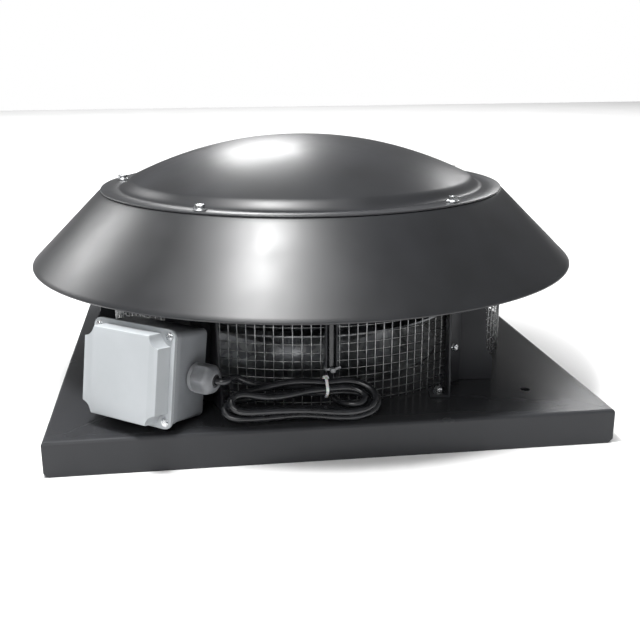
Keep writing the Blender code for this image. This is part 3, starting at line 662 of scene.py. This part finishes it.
def make_stage():
    """The floor, a room that is darker low down than overhead, and the softboxes."""
    bm = bmesh.new()
    side = 6.0
    corners = [bm.verts.new((x * side, y * side, 0)) for x, y in ((-1, -1), (1, -1), (1, 1), (-1, 1))]
    bm.faces.new(corners)
    mesh = bpy.data.meshes.new("studio_floor")
    bm.to_mesh(mesh)
    bm.free()
    floor = bpy.data.objects.new("studio_floor", mesh)
    mesh.materials.append(finish("floor"))
    bpy.context.scene.collection.objects.link(floor)
    world = bpy.data.worlds.new("studio")
    world.use_nodes = True
    tree = world.node_tree
    room = tree.nodes["Background"]
    room.inputs["Color"].default_value = (1, 1, 1, 1)
    way = add_node(tree, "ShaderNodeTexCoord").outputs["Generated"]
    height = add_node(tree, "ShaderNodeSeparateXYZ", [("Vector", way)]).outputs["Z"]
    glow = add_node(tree, "ShaderNodeMapRange", [("Value", height)], To_Min=0.10, To_Max=0.40)
    tree.links.new(glow.outputs["Result"], room.inputs["Strength"])
    wall = add_node(tree, "ShaderNodeBackground", Color=(1, 1, 1, 1), Strength=1.0)
    seen = add_node(tree, "ShaderNodeLightPath").outputs["Is Camera Ray"]
    mix = add_node(tree, "ShaderNodeMixShader", [("Fac", seen)])
    tree.links.new(room.outputs[0], mix.inputs[1])
    tree.links.new(wall.outputs[0], mix.inputs[2])
    tree.links.new(mix.outputs[0], tree.nodes["World Output"].inputs["Surface"])
    bpy.context.scene.world = world
    bpy.context.scene.view_settings.view_transform = "Standard"
    middle = (0, 0, 0.2)
    area_light("overhead_softbox", (-0.38, -0.43, 1.67), (-0.07, -0.26, 0.22), 0.26, 0.30, 30)
    area_light("overhead_diffuser", (-0.45, -0.40, 2.10), (-0.07, -0.26, 0.22), 1.50, 1.10, 24)
    area_light("rear_softbox", (-0.02, 1.62, 1.22), (-0.06, -0.08, 0.29), 0.44, 0.50, 11)
    area_light("rear_strip", (1.05, 1.27, 0.95), (0.17, -0.14, 0.26), 0.10, 0.30, 2.5)
    area_light("left_panel", (-1.35, 0.97, 1.04), (-0.23, -0.15, 0.21), 0.45, 0.55, 9)
    area_light("front_fill", (-0.7, -1.9, 1.1), middle, 0.8, 0.6, 11)
    area_light("floor_wash", (0, 3.2, 3.4), (0, 3.2, 0), 7.0, 4.0, 330, glints=False)


# ---------------------------------------------------------------- cable

def hank_point(u, v, w):
    """A point in the hank, in millimetres along it, up its lean and out of its face."""
    return hank_frame() @ (Vector((u, v, w)) * MM)


def cable_route():
    """The cable's middle line: out of the gland, through the hank's loops and up the guard to the motor.

    The hank has two layers, near and far, a cable's thickness apart. Its back turn lies in the far layer,
    its middle turn crosses to the near one, and its front turn rides over the others at the left end.
    """
    near, far = STRAND_HALF, -STRAND_HALF
    at_tie = TIE_ALONG / MM
    gland = gland_frame()
    back = -(GUARD_RADIUS + 0.0004 + 0.0007)
    run = back - 0.0014 - sizes().cable / 2
    first = [gland @ Vector((0, 0, reach)) for reach in (0.0150, 0.0273, 0.0360)]
    lead = [
        (-75, 18, 18), (-62, 16.5, 8.5), (-49, 17, 0), (-34, 17, far), (-16, 16.5, far), (2, 15.5, far),
        (at_tie, 13.9, far),
    ]
    back_turn = [
        (36, 15, far), (48, 15, far), (61, 11, far), (71, 4, far), (75, -5, far), (71, -15, far),
        (58, -22, far), (42, -24, -3.7), (24, -22.5, far), (6, -19.5, far), (-14, -18, far),
        (-36, -19, far), (-58, -19.5, far), (-74, -19, far), (-84, -16, -3.8), (-89, -8.5, -3.5),
        (-85, -1.5, -3), (-75, 1.8, -2.8), (-64, 3, -2.7), (-50, 4.5, -3), (-30, 6.5, -3.6),
        (-10, 8, far), (4, 7.2, far), (at_tie, 6.1, far),
    ]
    middle_turn = [
        (36, 7, far), (49, 5.5, far), (59, 2, far), (65.5, -4, far), (64.5, -11.5, far), (56, -16, far),
        (42, -16.5, far), (24, -14.5, far), (4, -11.5, far), (-18, -10.3, -3.5), (-40, -11, -2),
        (-56, -13, 0.5), (-69, -14, 3), (-79, -11.5, 4.6), (-83.5, -4.5, 5.2), (-78, 2.5, 5.2),
        (-65, 6, 5), (-50, 9.5, 4.6), (-36, 13.5, 4.4), (-20, 16.3, 4), (-4, 17, near), (9, 15.5, near),
        (at_tie, 13.9, near),
    ]
    front_turn = [
        (34, 15, near), (46, 15, near), (58, 11, near), (68, 3.5, near), (71.5, -6, near),
        (66, -15.5, near), (53, -21, near), (36, -22, near), (18, -20, near), (-2, -17.5, near),
        (-24, -16.5, 4.2), (-44, -16.8, 5), (-58, -18, 7.6), (-70, -19, 10.5), (-79, -15.5, 12),
        (-82, -8.5, 13), (-77, -1.5, 13), (-66, 0.5, 12.5), (-50, -2.5, 10.5), (-30, -2, 7.5),
        (-12, 2, 5.5), (4, 5, 4.3), (at_tie, 6.1, near),
    ]
    last_loop = [
        (34, 7, near), (46, 6.5, near), (56, 2.5, near), (61, -4.5, near), (57, -11.5, 3.8),
        (48, -13.5, 3.6), (40, -11, 2.2), (34, -6.5, -2),
    ]
    climb = [(0.0, run, TOP + height) for height in (0.034, 0.047, 0.070, 0.100, 0.130, 0.150)]
    rise = [
        (0.0030, -0.2665, TOP + 0.0145), (0.0010, -0.2590, TOP + 0.0150), (0.0, -0.2515, TOP + 0.0215),
        *climb, (0.0, run + 0.0050, TOP + 0.1610), (0.0, run + 0.0200, ENTRY_HEIGHT),
        (0.0, -0.1600, ENTRY_HEIGHT), (0.0, -0.1100, ENTRY_HEIGHT), entry_frame() @ Vector((0, 0, 0.0160)),
    ]
    hank = [hank_point(*p) for p in [*lead, *back_turn, *middle_turn, *front_turn, *last_loop]]
    return [*first, *hank, *rise]


def make_cable():
    """The whole supply cable as one tube, and the two ties that hold it."""
    points = smooth_route(cable_route(), 0.004)
    curve = bpy.data.curves.new("supply_cable", "CURVE")
    curve.dimensions = "3D"
    curve.bevel_depth = sizes().cable / 2
    curve.bevel_resolution = 6
    curve.use_fill_caps = True
    spline = curve.splines.new("POLY")
    spline.points.add(len(points) - 1)
    for slot, point in zip(spline.points, points):
        slot.co = (*point, 1.0)
    spline.use_smooth = True
    curve.materials.append(finish("jacket"))
    cable = bpy.data.objects.new("supply_cable", curve)
    bpy.context.scene.collection.objects.link(cable)
    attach(cable, FRAME_BODY)
    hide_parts("cable_lead", "cable_hank", "cable_riser")
    hank_tie = make_hank_tie()
    riser_tie = make_riser_tie()


def add_strap(bm, outline, half, thick, place):
    """Adds a closed band round an outline of (x, y) points."""
    count = len(outline)
    rings = []
    for k in range(count):
        p = Vector(outline[k])
        ahead = (Vector(outline[(k + 1) % count]) - Vector(outline[k - 1])).normalized()
        out = Vector((ahead.y, -ahead.x))
        q = p + out * thick
        edge = thick * 0.25
        corners = ((p, -half), (q, -half + edge), (q, half - edge), (p, half))
        rings.append([bm.verts.new((*point, height)) for point, height in corners])
    for k in range(count):
        bridge(bm, rings[k - 1], rings[k])
    settle(bm, rings, place)


def make_hank_tie():
    """A self-locking tie round the strands: a strap, its square head and a cut tail."""
    bm = bmesh.new()
    spot = Matrix.Translation((TIE_ALONG, 0.0100, 0.0))
    place = hank_frame() @ spot @ Matrix.Rotation(math.radians(90), 4, "Y")
    add_strap(bm, rounded(0.0160, 0.0160, 0.0036, 6), 0.0016, 0.0011, place)
    top = Matrix.Translation((TIE_ALONG, 0.0190, 0.0030))
    head = hank_frame() @ top @ Matrix.Rotation(math.radians(18), 4, "Z")
    add_prism(bm, rounded(0.0066, 0.0058, 0.0020, 4), -0.0028, 0.0028, 0.0008, 2, head)
    tail = head @ Matrix.Translation((-0.0052, -0.0006, 0)) @ Matrix.Rotation(math.radians(8), 4, "Z")
    add_prism(bm, rounded(0.0046, 0.0026, 0.0005, 2), -0.0006, 0.0006, 0.0002, 1, tail)
    tie = finish_object("hank_tie", bm, finish("white_tie"), angle=30)
    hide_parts("cable_tie")
    return tie


def make_riser_tie():
    """A grey tie that holds the cable in its channel, with its head at the front."""
    bm = bmesh.new()
    low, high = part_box("riser_tie")
    middle = [(a + b) / 2 for a, b in zip(low, high)]
    width, depth = high[0] - low[0] - 0.0022, high[1] - low[1] - 0.0022
    place = Matrix.Translation(middle)
    add_strap(bm, rounded(width, depth, 0.0022, 5), 0.0014, 0.0009, place)
    upright = Matrix.Rotation(math.radians(90), 4, "X")
    head = Matrix.Translation((0.0010, low[1] - 0.0010, middle[2] - 0.0008)) @ upright
    add_prism(bm, rounded(0.0052, 0.0048, 0.0012, 4), -0.0012, 0.0022, 0.0007, 2, head)
    wing = Matrix.Translation((0.0062, low[1] + 0.0002, middle[2] + 0.0012))
    wing = wing @ Matrix.Rotation(math.radians(-22), 4, "Y") @ upright
    add_prism(bm, rounded(0.0070, 0.0024, 0.0006, 2), -0.0006, 0.0006, 0.0002, 1, wing)
    tie = finish_object("channel_tie", bm, finish("grey_tie"), angle=30)
    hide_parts("riser_tie")
    return tie


# ---------------------------------------------------------------- hood

SUPPORTS = {"front_left": -124, "front_right": -52, "right": 20, "back": 92, "left": 164}
HOOD_RIM_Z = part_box("hood_cone")[0][2]
HOOD_TOP_Z = TOP + 0.2065
HOOD_SHEET = 0.0016
DOME_RADIUS, DOME_POWER = 0.233, 2.08
CAP_CROWN, CAP_FOOT, CAP_EDGE = 0.210, 0.227, 0.2488


def make_hood_cone():
    """The cone: a top flange, a rounded shoulder, the slope, and a hem rolled inwards at its foot."""
    s = sizes()
    rim, top = s.hood_rim, s.hood_top
    fall = Vector((rim - top, HOOD_RIM_Z - HOOD_TOP_Z)).normalized()
    inwards = Vector((fall.y, -fall.x))
    bend, hem_radius, mouth = 0.0032, 0.0017, 0.212
    shoulder = Vector((top, HOOD_TOP_Z)) + fall * bend
    outer = [(mouth, HOOD_TOP_Z), (top - bend, HOOD_TOP_Z)]
    centre = Vector((top - bend, HOOD_TOP_Z - 1.9 * bend))
    for k in range(1, 5):
        angle = math.radians(90 - 45 * k / 4)
        outer.append((centre.x + 1.9 * bend * math.cos(angle), centre.y + 1.9 * bend * math.sin(angle)))
    outer.append(tuple(shoulder + fall * 0.004))
    foot = Vector((rim, HOOD_RIM_Z)) - fall * 0.0016
    crest, edge = Vector((top, HOOD_TOP_Z)), Vector((rim, HOOD_RIM_Z))
    outer += [tuple(crest.lerp(edge, t)) for t in (0.35, 0.65, 0.95)]
    outer.append(tuple(foot))
    hem_centre = foot + inwards * hem_radius
    start = math.degrees(math.atan2(-inwards.y, -inwards.x))
    hem = arc(tuple(hem_centre), hem_radius, start, start - 180, 6)
    turned_up = [
        tuple(foot - fall * 0.011 + inwards * 2 * hem_radius),
        tuple(foot - fall * 0.0115 + inwards * HOOD_SHEET),
    ]
    inner_top = Vector((top - bend - 0.0006, HOOD_TOP_Z - HOOD_SHEET))
    back = [tuple(shoulder + inwards * HOOD_SHEET), tuple(inner_top), (mouth, HOOD_TOP_Z - HOOD_SHEET)]
    profile = [*outer, *hem[1:], *turned_up, *back]
    cone = lathe("hood_cone_skin", profile, finish("hood"), s.turning_steps, angle=50)
    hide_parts("hood_cone")


def cap_height(radius):
    """Height of the cap above its flange: a dome that runs out in a hollow curve."""
    def dome(r):
        return sizes().dome_height * (1 - (r / DOME_RADIUS) ** DOME_POWER)

    if radius <= CAP_CROWN:
        return dome(radius)
    if radius >= CAP_FOOT:
        return 0.0
    slope = (dome(CAP_CROWN + 1e-5) - dome(CAP_CROWN - 1e-5)) / 2e-5
    span = CAP_FOOT - CAP_CROWN
    t = (radius - CAP_CROWN) / span
    return dome(CAP_CROWN) * (2 * t**3 - 3 * t**2 + 1) + span * slope * (t**3 - 2 * t**2 + t)


def make_hood_cap():
    """The domed cap on its flat flange."""
    seat = HOOD_TOP_Z + 0.0003
    fine = [CAP_FOOT - 0.017 * k / 10 for k in range(1, 11)]
    crown = [CAP_CROWN * (1 - k / 26) for k in range(1, 27)]
    radii = [CAP_EDGE - 0.0004, CAP_FOOT + 0.002, CAP_FOOT, *fine, *crown]
    over = [(r, seat + HOOD_SHEET + cap_height(r)) for r in radii]
    edge = [(CAP_EDGE, seat + HOOD_SHEET - 0.0004), (CAP_EDGE, seat + 0.0003)]
    edge.append((CAP_EDGE - 0.0003, seat))
    under = [(r, seat + cap_height(r) * 0.999) for r in radii[1:]]
    profile = [*reversed(edge), *over, *reversed(under)]
    cap = lathe("hood_cap_skin", profile, finish("hood"), sizes().turning_steps, angle=50)
    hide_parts("hood_cap")


# ---------------------------------------------------------------- fasteners

CAP_BOLTS, FOOT_BOLTS, FOOT_SPREAD, WEB_FACE = 0.235, 0.2545, 0.0405, 0.2441


def hexagon(across):
    """The corners of a hexagon, as (x, y), from its width across flats."""
    return circle(across / 2 / math.cos(math.pi / 6), 6)


def flange_bolt(name, place, across, head, flange, shank, length, thick=0.0014):
    """A hexagon flange bolt: a dished washer face, a chamfered head with a stamped top, and its shank."""
    bm = bmesh.new()
    washer = [(0, 0), (flange, 0), (flange, thick * 0.45), (flange * 0.93, thick * 0.8)]
    washer += [(across * 0.52, thick * 1.5), (0, thick * 1.5)]
    turn_profile(bm, washer, 32, place, closed=False)
    add_prism(bm, hexagon(across), thick * 0.9, thick * 0.9 + head, across * 0.055, 2, place, both=False)
    crown = thick * 0.9 + head
    stamp = [(0, crown - 0.0004), (across * 0.40, crown - 0.0004)]
    stamp += [(across * 0.34, crown + 0.00025), (0, crown + 0.00015)]
    turn_profile(bm, stamp, 24, place, closed=False)
    stem = [(0, -length), (shank * 0.8, -length), (shank, -length + 0.0008), (shank, 0.0002), (0, 0.0002)]
    turn_profile(bm, stem, 16, place, closed=False)
    return finish_object(name, bm, finish("zinc"), angle=25)


def make_bolts():
    """The bolts of the cap, of the supports' feet, and of their webs. No two heads are turned alike."""
    seat = HOOD_TOP_Z + 0.0006 + HOOD_SHEET
    for n, (label, azimuth) in enumerate(SUPPORTS.items()):
        place = around(azimuth, CAP_BOLTS, seat) @ Matrix.Rotation(math.radians(17 * n), 4, "Z")
        bolt = flange_bolt(f"cap_flange_bolt_{label}", place, 0.0098, 0.0048, 0.0077, 0.0029, 0.0100)
        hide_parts(f"cap_bolt_{label}")
    seat = TOP + 0.0026
    for n, (label, azimuth) in enumerate(SUPPORTS.items()):
        for side, word in ((-1, "a"), (1, "b")):
            place = around(azimuth, FOOT_BOLTS, seat) @ Matrix.Translation((0, side * FOOT_SPREAD, 0))
            place = place @ Matrix.Rotation(math.radians(11 * n + 23 * side), 4, "Z")
            name = f"foot_flange_bolt_{label}_{word}"
            bolt = flange_bolt(name, place, 0.0088, 0.0044, 0.0067, 0.0029, 0.0080)
            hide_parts(f"foot_bolt_{label}_{word}")
    for label, azimuth in SUPPORTS.items():
        for word, height in (("web", 0.043), ("spider", 0.1685)):
            face = around(azimuth, WEB_FACE, TOP + height) @ Matrix.Rotation(math.radians(90), 4, "Y")
            bolt = flange_bolt(f"{word}_bolt_{label}", face, 0.0072, 0.0030, 0.0048, 0.0020, 0.0016, 0.0008)


# ---------------------------------------------------------------- guard

BULGE, BULGE_FROM, BULGE_TO = 0.0165, -36, 12


def guard_point(azimuth, lift):
    """A point of the guard in plan. Between two supports the mesh springs outwards."""
    turn = (azimuth + 180) % 360 - 180
    spring = 0.0
    if BULGE_FROM < turn < BULGE_TO:
        spring = BULGE * math.sin(math.pi * (turn - BULGE_FROM) / (BULGE_TO - BULGE_FROM)) ** 2
    angle = math.radians(azimuth)
    reach = GUARD_RADIUS + spring + lift
    return reach * math.cos(angle), reach * math.sin(angle)


def make_guard():
    """Upright wires outside and rings inside, sunk into each other where they are welded."""
    s = sizes()
    half = s.wire / 2
    low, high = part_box("wire_guard")
    bm = bmesh.new()
    count = round(math.tau * GUARD_RADIUS / s.mesh_pitch)
    for k in range(count):
        spot = guard_point(360 * (k + 0.5) / count, half * 0.8)
        add_tube(bm, [(*spot, low[2] + 0.0003), (*spot, high[2] - 0.0003)], half, 6)
    rings = int((high[2] - low[2] - 2 * half) / s.ring_pitch)
    for n in range(rings + 1):
        height = low[2] + half + 0.0022 + n * s.ring_pitch
        hoop = [(*guard_point(2 * k, -half * 0.8), height) for k in range(180)]
        add_tube(bm, hoop, half, 6, closed=True)
    guard = finish_object("guard_wires", bm, finish("wire"), angle=70)
    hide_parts("wire_guard")


# ---------------------------------------------------------------- inlet, impeller, motor

EYE, TIP = 0.1275, 0.200


def make_inlet():
    """The bell mouth: a flat flange that turns up into the impeller's eye."""
    wall = 0.0012
    throat, foot, flange = 0.121, TOP + 0.0003, 0.176
    bell = []
    for k in range(1, 15):
        angle = math.radians(90 * k / 14)
        bell.append((throat + 0.026 * (1 - math.sin(angle)), TOP + 0.002 + 0.040 * (1 - math.cos(angle))))
    outer = [(flange, foot), (throat + 0.029, foot), *bell, (throat, TOP + 0.052)]
    back = [(flange, foot + wall)] + [(r + wall, z + wall) for r, z in outer[1:-1]]
    back.append((throat + wall, TOP + 0.052))
    inlet = lathe("inlet_cone_skin", [*outer, *reversed(back)], finish("inlet"), 160, angle=50)
    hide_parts("inlet_cone")


def shroud_height(radius):
    """Height of the shroud's underside, which curves from the eye out to the blade tips."""
    t = max(0.0, (radius - EYE) / (TIP - EYE))
    return TOP + 0.040 + 0.024 * math.sin(math.radians(90) * t) ** 0.8


def make_impeller():
    """The shroud ring, the backplate and the rivets that hold the blades to it."""
    radii = [EYE + (TIP - EYE) * k / 14 for k in range(15)]
    under = [(r, shroud_height(r)) for r in radii]
    over = [(r, shroud_height(r) + 0.002) for r in radii]
    collar = [(EYE, TOP + 0.034), (0.1291, TOP + 0.034), (0.1291, TOP + 0.0396)]
    section = [*collar, *under[1:], *reversed(over)]
    shroud = lathe("impeller_shroud_skin", section, finish("alloy"), 180, angle=50, body=ROTOR_BODY)
    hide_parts("impeller_shroud")
    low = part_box("impeller_backplate")[0][2]
    plate = [(0.0745, low), (0.1995, low), (TIP, low + 0.0005), (TIP, low + 0.0015)]
    plate += [(0.1995, low + 0.002), (0.0745, low + 0.002)]
    back = lathe("impeller_backplate_skin", plate, finish("alloy"), 180, angle=50, body=ROTOR_BODY)
    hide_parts("impeller_backplate")
    dress("alloy", *(f"impeller_blade_{n}" for n in range(1, 8)))
    for n in range(7):
        bm = bmesh.new()
        for radius, turn in ((0.1500, 8.3), (0.1700, 17.5), (0.1880, 27.5)):
            place = around(360 * n / 7 - turn * 1.12, radius, low + 0.0020)
            dome = [(0, 0.0011), (0.0012, 0.0009), (0.0021, 0.0005), (0.0025, 0.0)]
            turn_profile(bm, [*dome, (0.0025, -0.0004), (0, -0.0004)], 12, place, closed=False)
        rivets = finish_object(f"blade_rivets_{n + 1}", bm, finish("alloy"), angle=40, body=ROTOR_BODY)


def make_motor():
    """The turning can of an external-rotor motor, and the finishes of what it holds."""
    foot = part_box("rotor_can")[0][2]
    seat = TOP + 0.1423
    rim = foot + 0.0615
    can = [
        (0, foot), (0.030, foot), (0.031, foot + 0.0012), (0.056, foot + 0.0012), (0.0625, foot + 0.0018),
        (0.0670, foot + 0.0045), (0.0695, foot + 0.0090), (0.0700, foot + 0.013), (0.0700, seat),
        (0.0836, seat), (0.0840, seat + 0.0005), (0.0840, rim - 0.0005), (0.0835, rim), (0.0665, rim),
        (0.0665, foot + 0.012),
        (0.0585, foot + 0.0045), (0.0062, foot + 0.0045), (0.0062, foot + 0.0028), (0, foot + 0.0028),
    ]
    shell = lathe("rotor_can_skin", can, finish("motor"), 128, angle=40, body=ROTOR_BODY)
    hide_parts("rotor_can")
    dress("motor", "stator_flange")
    dress("copper", "stator_core")
    dress("steel", "bearing_lower", "bearing_upper", "motor_shaft")
    dress("rubber", "cable_grommet")


# ---------------------------------------------------------------- terminal box

def make_box():
    """The lid with its raised panel, the gasket, the base and the lid's four screws."""
    bm = bmesh.new()
    out = face_frame()
    front = -(LID_DEPTH - LID_FLANGE)
    add_prism(bm, rounded(LID_WIDTH, LID_HEIGHT, 0.008, 8), -LID_DEPTH, front, 0.0009, 2, out)
    panel = scooped(PANEL_WIDTH, PANEL_HEIGHT, 0.0132, 0.0012)
    add_prism(bm, panel, front - 0.0015, 0.0, 0.0014, 3, out, both=False, draft=0.012)
    lid = finish_object("terminal_box_lid", bm, finish("lid"), angle=28)
    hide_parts("box_lid")
    bm = bmesh.new()
    strip = rounded(BASE_WIDTH + 0.0006, BASE_HEIGHT + 0.0016, 0.007, 8)
    ring(bm, strip, 0.006, -(LID_DEPTH + GASKET), -LID_DEPTH - 0.0003, out)
    gasket = finish_object("lid_gasket", bm, finish("gasket"), angle=30)
    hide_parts("box_gasket")
    bm = bmesh.new()
    make_base_shell(bm, out)
    base = finish_object("terminal_box_base", bm, finish("base"), angle=28)
    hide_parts("box_base")
    corners = (("top_left", -1, 1), ("top_right", 1, 1), ("bottom_left", -1, -1), ("bottom_right", 1, -1))
    for n, (label, x, y) in enumerate(corners):
        place = face_frame(LID_DEPTH - LID_FLANGE - 0.0003, x * SCREW_ACROSS, y * SCREW_UP)
        make_lid_screw(f"lid_cross_screw_{label}", f"lid_screw_{label}", place, 20 + 31 * n)
    dress("bracket", "box_bracket")
    dress("terminal", "terminal_block")


def ring(bm, outline, wall, low, high, place):
    """Adds a flat ring inside an outline."""
    narrow = 1 - wall / max(x for x, y in outline)
    shallow = 1 - wall / max(y for x, y in outline)
    inner = [(x * narrow, y * shallow) for x, y in outline]
    corners = ((outline, low), (outline, high), (inner, high), (inner, low))
    loops = [loop_at(bm, points, height) for points, height in corners]
    for one, two in zip(loops, [*loops[1:], loops[0]]):
        bridge(bm, one, two)
    settle(bm, loops, place)


def make_base_shell(bm, place):
    """The open box behind the lid: stepped rim, drafted sides and a hollow."""
    front = -(LID_DEPTH + GASKET + 0.0003)
    wall = 0.003
    w, h = BASE_WIDTH, BASE_HEIGHT
    floor = -BOX_DEPTH
    steps = (
        (0.0004, 0.0070, front), (0, 0.0070, front - 0.0004), (0, 0.0070, front - 0.0062),
        (0, 0.0070, front - 0.0066), (0.0016, 0.0064, front - 0.0072), (0.0018, 0.0062, floor + 0.0012),
        (0.0022, 0.0060, floor + 0.0004), (0.0036, 0.0056, floor),
    )
    rings = [(w - less, h - less, radius, z) for less, radius, z in steps]
    inside = [
        (w - 2 * wall - 0.002, h - 2 * wall - 0.002, 0.004, floor + wall),
        (w - 2 * wall, h - 2 * wall, 0.004, front),
    ]
    loops = [loop_at(bm, rounded(*size, 8), z) for *size, z in [*rings, *inside]]
    for one, two in list(zip(loops, loops[1:])) + [(loops[-1], loops[0])]:
        if one is loops[len(rings) - 1]:
            bm.faces.new(one)
            bm.faces.new(two)
        else:
            bridge(bm, one, two)
    settle(bm, loops, place)


def make_lid_screw(name, node, place, turn):
    """A cheese-head screw with a cross recess and a washer under it."""
    bm = bmesh.new()
    spin = place @ Matrix.Rotation(math.radians(turn), 4, "Z")
    washer = [(0, 0), (0.0044, 0), (0.0044, 0.0006), (0.0041, 0.0008), (0.0033, 0.0008)]
    head = [(0.0033, 0.0018), (0.0030, 0.0022), (0.0012, 0.0023)]
    turn_profile(bm, [*washer, *head], 32, spin, closed=False)
    cross = []
    for k in range(4):
        a = math.radians(90 * k)
        for x, y in ((0.0021, -0.00042), (0.0021, 0.00042), (0.00042, 0.00042)):
            cross.append((x * math.cos(a) - y * math.sin(a), x * math.sin(a) + y * math.cos(a)))
    add_prism(bm, cross, 0.0010, 0.00235, 0, 1, spin)
    hole = [(0.0012, 0.0023), (0.0008, 0.0009), (0, 0.0005)]
    turn_profile(bm, hole, 32, spin, closed=False)
    stem = [(0, -0.0036), (0.0015, -0.0036), (0.0019, -0.0028), (0.0019, 0.0002), (0, 0.0002)]
    turn_profile(bm, stem, 16, spin, closed=False)
    screw = finish_object(name, bm, finish("zinc"), angle=25)
    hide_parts(node)


def make_gland():
    """The gland's collar, its dome nut and the rubber seal round the cable."""
    place = gland_frame()
    bm = bmesh.new()
    collar = [(0.0080, -0.0095), (0.0122, -0.0095), (0.0122, 0.0003), (0.0147, 0.0003), (0.0150, 0.0006)]
    collar += [(0.0150, 0.0040), (0.0146, 0.0045), (0.0080, 0.0045)]
    turn_profile(bm, collar, 48)
    body = finish_object("gland_collar", bm, finish("gland"), place, 35)
    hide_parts("gland_body")
    bm = bmesh.new()
    make_gland_nut(bm)
    nut = finish_object("gland_dome_nut", bm, finish("gland"), place, 28)
    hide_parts("gland_nut")
    radius = sizes().cable / 2 + 0.0001
    seal = [(radius, 0.0065), (0.0059, 0.0065), (0.0059, 0.0262), (0.0052, 0.0268)]
    seal += [(radius + 0.0006, 0.0268), (radius, 0.0262)]
    ring_seal = lathe("gland_seal_ring", seal, finish("rubber"), 48, place)
    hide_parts("gland_seal")


def make_gland_nut(bm):
    """The clamping nut: flats that melt into a domed nose. Each row is (height, size, how hexagonal)."""
    flats = 0.0145
    bore = 0.0061
    sides = 48
    rows = [
        (0.0048, 0.90, 1), (0.0052, 0.985, 1), (0.0060, 1.0, 1), (0.0180, 1.0, 1), (0.0200, 0.985, 0.9),
        (0.0218, 0.94, 0.6), (0.0234, 0.87, 0.3), (0.0248, 0.78, 0.1), (0.0258, 0.68, 0.0),
        (0.0263, 0.58, 0.0), (0.0265, 0.48, 0.0),
    ]
    rings = []
    for height, size, hexed in rows:
        loop = []
        for k in range(sides):
            angle = math.tau * k / sides
            nearest = (angle + math.pi / 6) % (math.pi / 3) - math.pi / 6
            flat = min(1 / math.cos(nearest), 1.125)
            reach = flats * size * (1 + (flat - 1) * hexed)
            loop.append(bm.verts.new((reach * math.cos(angle), reach * math.sin(angle), height)))
        rings.append(loop)
    rings += [loop_at(bm, circle(bore, sides), height) for height in (0.0250, 0.0048)]
    for low, high in zip(rings, [*rings[1:], rings[0]]):
        bridge(bm, low, high)


# ---------------------------------------------------------------- operators

def dress_base():
    dress("pan", "base_pan")
    dress("bracket", "motor_spider", "cable_channel", *(f"support_{label}" for label in SUPPORTS))


class MakesPieces:
    """Calls an operator's makers in turn."""

    makers = ()

    def execute(self, context):
        for make in self.makers:
            make()
        return {"FINISHED"}


class FAN_OT_stage(MakesPieces, bpy.types.Operator):
    """Makes the camera, the floor and the studio lights"""

    bl_idname = "fan.stage"
    bl_label = "Camera and stage"
    makers = (make_camera, make_stage)


class FAN_OT_cable(MakesPieces, bpy.types.Operator):
    """Makes the coiled supply cable and its ties"""

    bl_idname = "fan.cable"
    bl_label = "Cable and ties"
    makers = (make_cable,)


class FAN_OT_hood(MakesPieces, bpy.types.Operator):
    """Makes the conical hood and its domed cap"""

    bl_idname = "fan.hood"
    bl_label = "Hood and cap"
    makers = (make_hood_cone, make_hood_cap)


class FAN_OT_base(MakesPieces, bpy.types.Operator):
    """Finishes the base pan, the supports, the motor spider and the cable channel"""

    bl_idname = "fan.base"
    bl_label = "Base and supports"
    makers = (dress_base,)


class FAN_OT_bolts(MakesPieces, bpy.types.Operator):
    """Makes the hexagon flange bolts"""

    bl_idname = "fan.bolts"
    bl_label = "Bolts"
    makers = (make_bolts,)


class FAN_OT_guard(MakesPieces, bpy.types.Operator):
    """Makes the welded wire guard"""

    bl_idname = "fan.guard"
    bl_label = "Wire guard"
    makers = (make_guard,)


class FAN_OT_impeller(MakesPieces, bpy.types.Operator):
    """Makes the inlet cone, the impeller and the motor"""

    bl_idname = "fan.impeller"
    bl_label = "Inlet, impeller and motor"
    makers = (make_inlet, make_impeller, make_motor)


class FAN_OT_box(MakesPieces, bpy.types.Operator):
    """Makes the terminal box, its screws and its cable gland"""

    bl_idname = "fan.box"
    bl_label = "Terminal box and gland"
    makers = (make_box, make_gland)


OPERATORS = (
    FAN_OT_stage,
    FAN_OT_cable,
    FAN_OT_hood,
    FAN_OT_base,
    FAN_OT_bolts,
    FAN_OT_guard,
    FAN_OT_impeller,
    FAN_OT_box,
)


class FAN_PT_panel(bpy.types.Panel):
    """Lists the fan's pieces, sizes and colours"""

    bl_label = "Roof fan"
    bl_idname = "FAN_PT_panel"
    bl_space_type = "VIEW_3D"
    bl_region_type = "UI"
    bl_category = "Roof fan"

    def draw(self, context):
        for operator in OPERATORS:
            self.layout.operator(operator.bl_idname)
        for group in (context.scene.fan_sizes, context.scene.fan_colours):
            for name in group.__annotations__:
                self.layout.prop(group, name)


CLASSES = (FanSizes, FanColours, *OPERATORS, FAN_PT_panel)


def register():
    for cls in CLASSES:
        bpy.utils.register_class(cls)
    bpy.types.Scene.fan_sizes = PointerProperty(type=FanSizes)
    bpy.types.Scene.fan_colours = PointerProperty(type=FanColours)


def unregister():
    del bpy.types.Scene.fan_colours
    del bpy.types.Scene.fan_sizes
    for cls in reversed(CLASSES):
        bpy.utils.unregister_class(cls)


def main():
    register()
    bpy.ops.fan.stage()
    bpy.ops.fan.cable()
    bpy.ops.fan.hood()
    bpy.ops.fan.base()
    bpy.ops.fan.bolts()
    bpy.ops.fan.guard()
    bpy.ops.fan.impeller()
    bpy.ops.fan.box()


if __name__ == "__main__":
    main()
